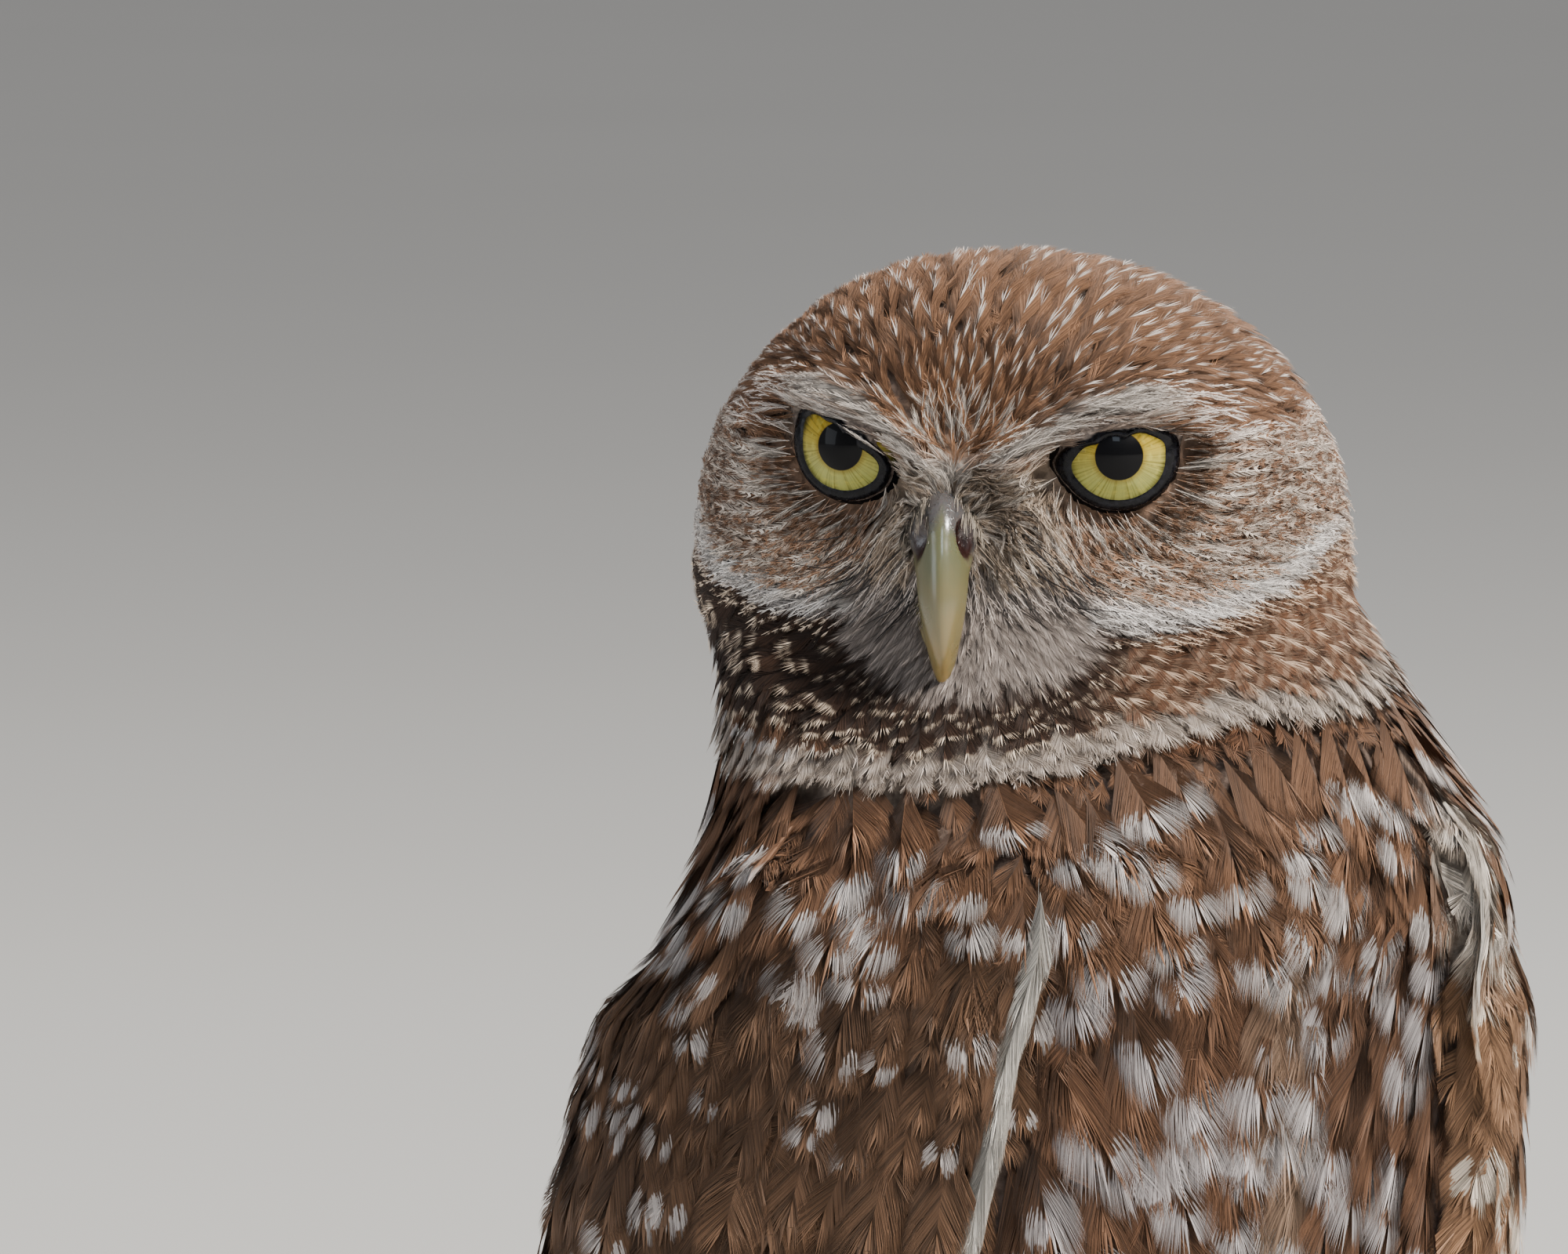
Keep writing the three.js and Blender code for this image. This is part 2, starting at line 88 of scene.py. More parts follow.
def ramp(low: float, high: float, value: Array) -> Array:
    """Rises smoothly from 0 at low to 1 at high; falls if low is above high."""
    t = np.clip((np.asarray(value, dtype=float) - low) / (high - low), 0.0, 1.0)
    return t * t * (3 - 2 * t)


def hill(distance: Array, spread: float) -> Array:
    """A bell of height one."""
    return np.exp(-((distance / spread) ** 2))


# ---- Shader words


class Signal:
    """A number in a material. Sums and products of signals add their own nodes."""

    def __init__(self, book: "Book", socket: bpy.types.NodeSocket) -> None:
        """Wraps an output socket of a node in the book."""
        self.book = book
        self.socket = socket

    def maths(self, operation: str, *others: "Signal | float") -> "Signal":
        """Applies a Math node to this signal and, where it takes them, other operands."""
        inputs = dict(enumerate([self, *others]))
        node = self.book.node("ShaderNodeMath", {"operation": operation}, inputs)
        return Signal(self.book, node.outputs[0])

    def __add__(self, other: "Signal | float") -> "Signal":
        """Sum."""
        return self.maths("ADD", other)

    __radd__ = __add__

    def __mul__(self, other: "Signal | float") -> "Signal":
        """Product."""
        return self.maths("MULTIPLY", other)

    __rmul__ = __mul__

    def __sub__(self, other: "Signal | float") -> "Signal":
        """Difference."""
        return self.maths("SUBTRACT", other)

    def __rsub__(self, other: float) -> "Signal":
        """Difference from a number."""
        return self * -1.0 + other

    def __truediv__(self, other: "Signal | float") -> "Signal":
        """Quotient."""
        return self.maths("DIVIDE", other)

    def __abs__(self) -> "Signal":
        """Size without its sign."""
        return self.maths("ABSOLUTE")

    def sine(self) -> "Signal":
        """Sine of an angle in radians."""
        return self.maths("SINE")

    def most(self, other: "Signal | float") -> "Signal":
        """The larger of two."""
        return self.maths("MAXIMUM", other)

    def least(self, other: "Signal | float") -> "Signal":
        """The smaller of two."""
        return self.maths("MINIMUM", other)

    def ramp(self, low: float, high: float, start: float = 0.0, end: float = 1.0) -> "Signal":
        """Goes smoothly from start at low to end at high, which must be above low."""
        node = self.book.node(
            "ShaderNodeMapRange",
            {"interpolation_type": "SMOOTHSTEP"},
            {"Value": self, "From Min": low, "From Max": high, "To Min": start, "To Max": end},
        )
        return Signal(self.book, node.outputs["Result"])


Feed = Signal | bpy.types.NodeSocket | float | Sequence[float]


class Book:
    """The node tree of one material, with a Principled shader at its end."""

    def __init__(self, name: str, **constants: float) -> None:
        """Starts a material; constants are shader sockets that are the same all over, with _ for a space."""
        self.material = bpy.data.materials.new(name)
        self.material.use_nodes = True
        self.tree = self.material.node_tree
        self.tree.nodes.clear()
        output = self.tree.nodes.new("ShaderNodeOutputMaterial")
        self.shader = self.tree.nodes.new("ShaderNodeBsdfPrincipled")
        self.tree.links.new(self.shader.outputs["BSDF"], output.inputs["Surface"])
        for key, value in constants.items():
            self.shader.inputs[key.replace("_", " ")].default_value = value

    def feed(self, socket: bpy.types.NodeSocket, value: Feed) -> None:
        """Links a signal or a socket to a socket, or sets its value."""
        if isinstance(value, Signal):
            value = value.socket
        if isinstance(value, bpy.types.NodeSocket):
            self.tree.links.new(value, socket)
        elif isinstance(value, (int, float)):
            socket.default_value = value
        else:
            room = len(socket.default_value)
            socket.default_value = (*value, 1.0)[:room]

    def node(self, kind: str, settings: dict | None = None, inputs: dict | None = None) -> bpy.types.Node:
        """Adds any node.

        Args:
            kind: the node's type.
            settings: its own settings, set first.
            inputs: values or links by socket name or number.

        Returns:
            The node.
        """
        node = self.tree.nodes.new(kind)
        for key, value in (settings or {}).items():
            setattr(node, key, value)
        for key, value in (inputs or {}).items():
            self.feed(node.inputs[key], value)
        return node

    def stored(self, name: str) -> bpy.types.Node:
        """Reads a value that the mesh stores."""
        return self.node("ShaderNodeAttribute", {"attribute_name": name})

    def parts(self, vector: bpy.types.NodeSocket) -> list[Signal]:
        """Splits a vector into its three numbers."""
        node = self.node("ShaderNodeSeparateXYZ", inputs={0: vector})
        return [Signal(self, socket) for socket in node.outputs]

    def mix(self, share: Feed, first: Feed, second: Feed) -> bpy.types.NodeSocket:
        """Mixes two colours; the share is how much of the second."""
        return self.node("ShaderNodeMix", {"data_type": "RGBA"}, {0: share, 6: first, 7: second}).outputs[2]

    def vectors(self, operation: str, *operands: Feed) -> bpy.types.NodeSocket:
        """Applies a Vector Math node."""
        return self.node("ShaderNodeVectorMath", {"operation": operation}, dict(enumerate(operands))).outputs[0]

    def place(self) -> bpy.types.NodeSocket:
        """The place in the object's own space, in metres."""
        return self.node("ShaderNodeTexCoord").outputs["Object"]

    def noise(self, scale: float, detail: float = 2.0, vector: Feed | None = None) -> Signal:
        """Adds noise of about 0 to 1, with cells per metre, in the object's own space or at a vector."""
        if vector is None:
            vector = self.place()
        node = self.node("ShaderNodeTexNoise", inputs={"Vector": vector, "Scale": scale, "Detail": detail})
        return Signal(self, node.outputs[0])

    def relief(self, height: Signal, distance: float, strength: float = 1.0) -> None:
        """Feeds a height in metres-like units to the shader's normal."""
        node = self.node("ShaderNodeBump", inputs={"Strength": strength, "Distance": distance, "Height": height})
        self.feed(self.shader.inputs["Normal"], node.outputs["Normal"])

    def paint(self, colour: Feed, roughness: Feed) -> bpy.types.Material:
        """Feeds colour and roughness and returns the finished material."""
        self.feed(self.shader.inputs["Base Color"], colour)
        self.feed(self.shader.inputs["Roughness"], roughness)
        return self.material


@dataclass(frozen=True)
class PlumageFinish:
    """Feathers: ground colour, light marks at the place each vane says, uneven barbs, painted shade towards each
    feather's base, and painted shade and light across each barb.
    """

    name: str = "plumage"
    roughness: float = 0.62
    barb_contrast: float = 0.85

    def make(self) -> bpy.types.Material:
        """Builds the material."""
        book = Book(self.name, Specular_IOR_Level=0.32)
        across, along, seed = book.parts(book.stored("vane").outputs["Vector"])
        spot, bars, streak = book.parts(book.stored("mark").outputs["Vector"])
        strand, phase, _ = book.parts(book.stored("strand").outputs["Vector"])
        ground = book.stored("ground").outputs["Color"]
        light = book.stored("light").outputs["Color"]
        beside = abs(across)
        wander = (strand - 0.5) * 0.12
        spot_x = (beside - 0.46 - (seed - 0.5) * 0.2) / 0.47
        spot_y = (along + wander - 0.75 - (seed - 0.5) * 0.08) / 0.135
        lobe = (across * 40.0).least(1.0).most(-1.0) * (seed - 0.5) * 1.3 + 1.0
        in_spot = ((spot_x * spot_x + spot_y * spot_y) / (spot * lobe).most(0.05)).ramp(0.8, 1.2, 1.0, 0.0)
        in_spot = in_spot * (spot * 4.0).least(1.0)
        wave = ((along + wander * 0.5 + seed * 0.2) * 25.0).sine() - beside * 0.25
        in_bars = (wave - (bars - 1.0).most(0.0)).ramp(-0.1, 0.35) * bars.least(1.0)
        streak_x = across / ((along - 0.42) * 0.7).most(0.05)
        streak_y = (along + wander * 0.7 - 0.8 + (seed - 0.5) * 0.08) / (seed * 0.18 + 0.14)
        in_streak = (streak_x * streak_x + streak_y * streak_y).ramp(0.6, 1.25, 1.0, 0.0)
        in_streak = in_streak * (streak * (2.0 - streak)).most(0.0)
        in_tip = (along + wander * 0.5 - beside * beside * 0.08).ramp(0.71, 0.8) * (streak - 1.0).most(0.0)
        share = in_spot.most(in_bars).most(in_streak).most(in_tip)
        colour = book.mix(share, ground, light)
        # Painted shade: each feather darkens towards its base, where the feathers lying over it would shade it.
        deep = along.ramp(0.15, 0.62, 0.7, 1.0)
        barbs = 1.0 - abs(abs(phase) - 0.5) * 2.0
        tone = strand * self.barb_contrast + (1.0 - self.barb_contrast * 0.5)
        # Painted shade and light: each painted barb is darker at its edges and a little lighter along its middle, as a
        # rounded barb is lit.
        tone = tone * deep * (seed * 0.16 + 0.92) * barbs.ramp(0.0, 0.7, 0.7, 1.06)
        grey = book.node("ShaderNodeCombineXYZ", inputs={0: tone, 1: tone, 2: tone}).outputs[0]
        book.relief(barbs, 0.00012, 0.8)
        return book.paint(book.vectors("MULTIPLY", colour, grey), self.roughness)


@dataclass(frozen=True)
class SkinFinish:
    """Skin under the coat, with the coat's own markings darkened strongly as painted shade between the feathers, and a
    downy grain.
    """

    name: str = "skin"

    def make(self) -> bpy.types.Material:
        """Builds the material."""
        book = Book(self.name, Specular_IOR_Level=0.2)
        grain = book.noise(900.0, 4.0)
        ground = book.stored("ground").outputs["Color"]
        # Painted shade: both tones of the skin are the ground colour darkened, so that gaps between feathers read as
        # shadow.
        dark = book.mix(0.75, ground, (0.035, 0.024, 0.018))
        light = book.mix(0.45, ground, (0.06, 0.042, 0.032))
        book.relief(grain, 0.0006, 0.7)
        return book.paint(book.mix(grain.ramp(0.35, 0.65), dark, light), 0.85)


@dataclass(frozen=True)
class IrisFinish:
    """Yellow iris with fine fibres, a black pupil and a dark edge, under a wet surface. It is golden above and paler
    below, partly its own tint and partly painted shade under the upper lid and painted light from glints low in the
    iris.
    """

    name: str = "eye"
    pupil: float = 0.47
    # Upper and lower iris colours: partly the iris's own tint, partly painted shade under the lid above and painted
    # light from glints below.
    upper: Colour = linear(168, 142, 40)
    lower: Colour = linear(158, 160, 88)
    fibre: Colour = linear(82, 74, 18)
    edge: Colour = linear(40, 38, 14)

    def make(self) -> bpy.types.Material:
        """Builds the material. The mesh stores iris as (across, up, distance / iris radius)."""
        book = Book(self.name, Coat_Weight=0.6, Coat_Roughness=0.01, Coat_IOR=1.24, Specular_IOR_Level=0.05)
        place = book.stored("iris").outputs["Vector"]
        across, up, distance = book.parts(place)
        fibres = book.noise(26.0, 6.0, book.vectors("NORMALIZE", place))
        fine = book.noise(9.0, 6.0, place)
        # Painted shade above and painted light below, mixed in with the iris's own tint.
        colour = book.mix(up.ramp(-0.6, 0.5), self.lower, self.upper)
        colour = book.mix(fibres.ramp(0.42, 0.68) * 0.55, colour, self.fibre)
        colour = book.mix(fine.ramp(0.48, 0.7) * 0.45, colour, linear(186, 176, 84))
        inner = distance.ramp(self.pupil, self.pupil + 0.13, 0.55, 0.0)
        colour = book.mix(inner, colour, linear(112, 84, 8))
        rim = (distance + (fibres - 0.5) * 0.14).ramp(0.8, 1.0)
        colour = book.mix(rim * 0.9, colour, self.edge)
        colour = book.mix(distance.ramp(1.0, 1.03), colour, (0.004, 0.004, 0.005))
        hole = (distance + (fine - 0.5) * 0.01).ramp(self.pupil - 0.012, self.pupil + 0.012, 1.0, 0.0)
        colour = book.mix(hole, colour, (0.0015, 0.0015, 0.002))
        book.relief(fibres * distance.ramp(self.pupil, 1.0), 0.0002, 0.35)
        return book.paint(colour, 0.4)


@dataclass(frozen=True)
class LidFinish:
    """Black, slightly wet edge of the lids, with fine beads."""

    name: str = "lid"

    def make(self) -> bpy.types.Material:
        """Builds the material."""
        book = Book(self.name, Specular_IOR_Level=0.16)
        grain = book.noise(1800.0, 3.0)
        book.relief(grain, 0.00012, 0.35)
        colour = book.mix(grain.ramp(0.4, 0.7), (0.003, 0.003, 0.004), (0.009, 0.009, 0.012))
        fold = Signal(book, book.stored("fold").outputs["Fac"])
        skin = book.mix(grain.ramp(0.35, 0.7), linear(84, 76, 72), linear(128, 116, 108))
        colour = book.mix(fold.ramp(0.3, 0.8), colour, skin)
        return book.paint(colour, grain.ramp(0.3, 0.7, 0.16, 0.34))


@dataclass(frozen=True)
class BillFinish:
    """Grey-green horn, tan towards the tip, under a grey waxy base, with nostrils painted dark as painted shade in
    their openings.
    """

    name: str = "bill"
    horn: Colour = linear(88, 89, 62)
    tip: Colour = linear(134, 112, 65)
    cere: Colour = linear(76, 73, 73)

    def make(self) -> bpy.types.Material:
        """Builds the material. The mesh stores horn as (share to the tip, side, nostril)."""
        book = Book(
            self.name, Coat_Weight=0.6, Coat_Roughness=0.16, Subsurface_Weight=0.12, Subsurface_Scale=0.0015
        )
        share, side, nostril = book.parts(book.stored("horn").outputs["Vector"])
        lines = book.noise(260.0, 5.0)
        streaks = book.noise(1500.0, 4.0, book.vectors("MULTIPLY", book.place(), (1.0, 1.0, 0.16)))
        colour = book.mix((share + (lines - 0.5) * 0.25).ramp(0.45, 0.95), self.horn, self.tip)
        colour = book.mix(streaks.ramp(0.5, 0.72) * 0.4, colour, linear(104, 100, 66))
        colour = book.mix(abs(side).ramp(0.55, 1.0) * 0.45, colour, linear(96, 90, 58))
        waxy = (share + (lines - 0.5) * 0.1 - abs(side) * 0.1).ramp(0.24, 0.31, 1.0, 0.0)
        colour = book.mix(waxy, colour, self.cere)
        pores = book.noise(2600.0, 2.0).ramp(0.5, 0.7) * waxy
        colour = book.mix(pores * 0.5, colour, linear(58, 52, 52))
        # Painted shade: the nostrils are painted near black, standing in for the shade inside their openings.
        colour = book.mix(nostril.ramp(0.14, 0.42), colour, linear(34, 10, 8))
        book.relief(streaks * 0.4 + pores * 0.8, 0.0002, 0.4)
        return book.paint(colour, lines.ramp(0.3, 0.7, 0.24, 0.4))


@dataclass(frozen=True)
class ClawFinish:
    """Smooth black horn, a little brown where it is thin."""

    name: str = "claw"

    def make(self) -> bpy.types.Material:
        """Builds the material."""
        book = Book(self.name, Coat_Weight=0.4, Coat_Roughness=0.2)
        grain = book.noise(900.0, 4.0)
        colour = book.mix(grain.ramp(0.4, 0.7), (0.008, 0.007, 0.007), (0.035, 0.026, 0.02))
        book.relief(grain, 0.0002, 0.4)
        return book.paint(colour, grain.ramp(0.3, 0.7, 0.22, 0.4))


@dataclass(frozen=True)
class ToeFinish:
    """Grey-brown scaly skin of the toes."""

    name: str = "toe_skin"
    scale: Colour = linear(150, 138, 116)
    groove: Colour = linear(74, 64, 52)

    def make(self) -> bpy.types.Material:
        """Builds the material."""
        book = Book(self.name, Specular_IOR_Level=0.4)
        cells = book.node(
            "ShaderNodeTexVoronoi", {"feature": "DISTANCE_TO_EDGE"}, {"Vector": book.place(), "Scale": 1500.0}
        )
        edge = Signal(book, cells.outputs["Distance"]).ramp(0.0, 0.22)
        grain = book.noise(700.0, 4.0)
        colour = book.mix(edge, self.groove, self.scale)
        colour = book.mix(grain.ramp(0.45, 0.75) * 0.5, colour, linear(112, 98, 80))
        book.relief(edge + grain * 0.3, 0.0004, 0.8)
        return book.paint(colour, grain.ramp(0.3, 0.7, 0.45, 0.65))


@dataclass(frozen=True)
class FloorFinish:
    """Plain pale floor."""

    name: str = "floor"

    def make(self) -> bpy.types.Material:
        """Builds the material."""
        book = Book(self.name)
        return book.paint(book.mix(book.noise(3.0), (0.60, 0.59, 0.57), (0.63, 0.62, 0.60)), 0.8)


# ---- The head's own frame and the surfaces


@dataclass(frozen=True)
class HeadFrame:
    """Where the head sits and how it is turned: +X its left, -Y forwards, +Z up."""

    centre: tuple[float, float, float] = (-2.7, -5.083, 196.0)
    turn: float = -46.0
    nod: float = 10.0
    lean: float = 1.3

    @property
    def rotation(self) -> Array:
        """The turn as a 3 by 3 matrix."""
        turns = ((self.turn, "Z"), (self.nod, "X"), (self.lean, "Y"))
        turn, nod, lean = (Matrix.Rotation(math.radians(angle), 3, axis) for angle, axis in turns)
        return np.array(turn @ nod @ lean)

    def inside(self, points: Array) -> Array:
        """Places in the head's frame, from places in the owl's."""
        return (points - np.array(self.centre)) @ self.rotation

    def outside(self, points: Array) -> Array:
        """Places in the owl's frame, from places in the head's."""
        return points @ self.rotation.T + np.array(self.centre)

    @staticmethod
    def beside(head: Array) -> Array:
        """Signed distance from the middle of the face, which lies a little to the owl's right."""
        return head[:, 0] + 1.7 * hill(head[:, 0], 9.0) * ramp(4, 14, -head[:, 1])


HEAD = HeadFrame()


class Surface:
    """A closed surface that can be asked for its nearest point and smooth normal."""

    def __init__(self, points: Array, faces: Array) -> None:
        """Keeps vertices in millimetres and quads, and prepares the search."""
        self.points = points
        self.faces = faces
        self.normals = self.vertex_normals()
        self.face_normals = unit(self.normals[faces].mean(axis=1))
        self.tree = BVHTree.FromPolygons(points.tolist(), faces.tolist())

    def vertex_normals(self) -> Array:
        """Smooth normals from the faces around each vertex."""
        p, f = self.points, self.faces
        cross = np.cross(p[f[:, 2]] - p[f[:, 0]], p[f[:, 3]] - p[f[:, 1]])
        normals = np.zeros_like(p)
        for column in range(4):
            np.add.at(normals, f[:, column], cross)
        return unit(normals)

    def nearest(self, points: Array) -> tuple[Array, Array]:
        """Finds the nearest places on the surface and the smooth normals there."""
        places = np.empty_like(points)
        numbers = np.empty(len(points), dtype=int)
        for i, point in enumerate(points.tolist()):
            places[i], _, numbers[i], _ = self.tree.find_nearest(point)
        return places, self.face_normals[numbers]

    def distance(self, points: Array) -> Array:
        """Distance from each point to the surface."""
        return np.linalg.norm(self.nearest(points)[0] - points, axis=1)


def make_object(name: str, mesh: bpy.types.Mesh) -> bpy.types.Object:
    """Puts a mesh in the scene."""
    piece = bpy.data.objects.new(name, mesh)
    bpy.context.scene.collection.objects.link(piece)
    return piece


def dress(name: str, mesh: bpy.types.Mesh, finish: bpy.types.Material, slot: str, *solids: str) -> bpy.types.Object:
    """Makes a visible piece of the owl's one body.

    Args:
        name: the piece's name.
        mesh: its mesh.
        finish: its material.
        slot: a material slot's name; not used.
        solids: the solids that it replaces, if any.

    Returns:
        The piece.
    """
    piece = make_object(name, mesh)
    mesh.materials.append(finish)
    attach(piece, "root")
    if solids:
        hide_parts(*solids)
    return piece


def circle(count: int) -> Array:
    """Evenly spaced angles once round, from 0."""
    return np.linspace(0, 2 * math.pi, count, endpoint=False)


def rounds(half_widths: Array, half_heights: Array, angles: Array) -> Array:
    """Outlines of ellipses, a row for each half width and half height."""
    return np.stack([np.cos(angles) * half_widths[:, None], np.sin(angles) * half_heights[:, None]], axis=-1)


def ring_quads(rings: int, around: int) -> list:
    """Quads between neighbouring rings of vertices."""
    return [
        [i * around + j, i * around + (j + 1) % around, (i + 1) * around + (j + 1) % around, (i + 1) * around + j]
        for i in range(rings - 1)
        for j in range(around)
    ]


def tube_faces(rings: int, around: int) -> list:
    """Faces of a closed tube, whose last two vertices close its first and its last ring."""
    faces = ring_quads(rings, around)
    first, final = rings * around, (rings - 1) * around
    for j in range(around):
        k = (j + 1) % around
        faces += [[first, k, j], [first + 1, final + j, final + k]]
    return faces


def wrap_faces(mesh: bpy.types.Mesh, places: Array) -> None:
    """Adds the UV map, with a place for each corner of each face."""
    mesh.uv_layers.new(name="OFBake").data.foreach_set("uv", places.astype(np.float32).ravel())


def mesh_of(name: str, points: Array, faces: Sequence | Array) -> bpy.types.Mesh:
    """Makes a mesh from millimetres.

    Args:
        name: the mesh's name.
        points: vertices.
        faces: vertex numbers, as lists or as an array with a row for each face.

    Returns:
        The mesh in metres, smooth shaded.
    """
    mesh = bpy.data.meshes.new(name)
    if isinstance(faces, np.ndarray):
        count, corners = faces.shape
        mesh.vertices.add(len(points))
        mesh.vertices.foreach_set("co", (points * MM).astype(np.float32).ravel())
        mesh.loops.add(count * corners)
        mesh.loops.foreach_set("vertex_index", faces.astype(np.int32).ravel())
        mesh.polygons.add(count)
        mesh.polygons.foreach_set("loop_start", np.arange(count, dtype=np.int32) * corners)
        mesh.update(calc_edges=True)
        mesh.validate()
    else:
        mesh.from_pydata((points * MM).tolist(), [], [list(map(int, f)) for f in faces])
    mesh.polygons.foreach_set("use_smooth", [True] * len(mesh.polygons))
    return mesh


def store(mesh: bpy.types.Mesh, name: str, kind: str, values: Array) -> None:
    """Stores a value at each vertex: kind is FLOAT, FLOAT_VECTOR or FLOAT_COLOR."""
    if kind == "FLOAT_COLOR":
        values = np.hstack([values, np.ones((len(values), 1))])
    word = {"FLOAT": "value", "FLOAT_VECTOR": "vector", "FLOAT_COLOR": "color"}[kind]
    layer = mesh.attributes.new(name, kind, "POINT")
    layer.data.foreach_set(word, np.asarray(values, dtype=np.float32).ravel())


def fused(nodes: Sequence[bpy.types.Object], voxel: float, smoothings: int) -> tuple[Array, Array]:
    """Fuses solids into one closed surface of even quads.

    Args:
        nodes: the solids' objects.
        voxel: size of the quads in millimetres.
        smoothings: how often they are smoothed.

    Returns:
        Vertices in millimetres, and quads.
    """
    points, faces, start = [], [], 0
    for node in nodes:
        co = np.empty(len(node.data.vertices) * 3, dtype=np.float32)
        node.data.vertices.foreach_get("co", co)
        points.append(co.reshape(-1, 3) / MM)
        faces += [[v + start for v in face.vertices] for face in node.data.polygons]
        start += len(node.data.vertices)
    rough = make_object("fusing", mesh_of("fusing", np.vstack(points), faces))
    remesh = rough.modifiers.new("even", "REMESH")
    remesh.mode = "VOXEL"
    remesh.voxel_size = voxel * MM
    calm = rough.modifiers.new("calm", "SMOOTH")
    calm.factor = 0.5
    calm.iterations = smoothings
    shaped = rough.evaluated_get(bpy.context.evaluated_depsgraph_get()).to_mesh()
    co = np.empty(len(shaped.vertices) * 3, dtype=np.float32)
    shaped.vertices.foreach_get("co", co)
    quads = np.empty(len(shaped.loops), dtype=np.int32)
    shaped.loops.foreach_get("vertex_index", quads)
    rough.to_mesh_clear()
    bpy.data.objects.remove(rough)
    return co.reshape(-1, 3).astype(float) / MM, quads.reshape(-1, 4)


# ---- Eyes


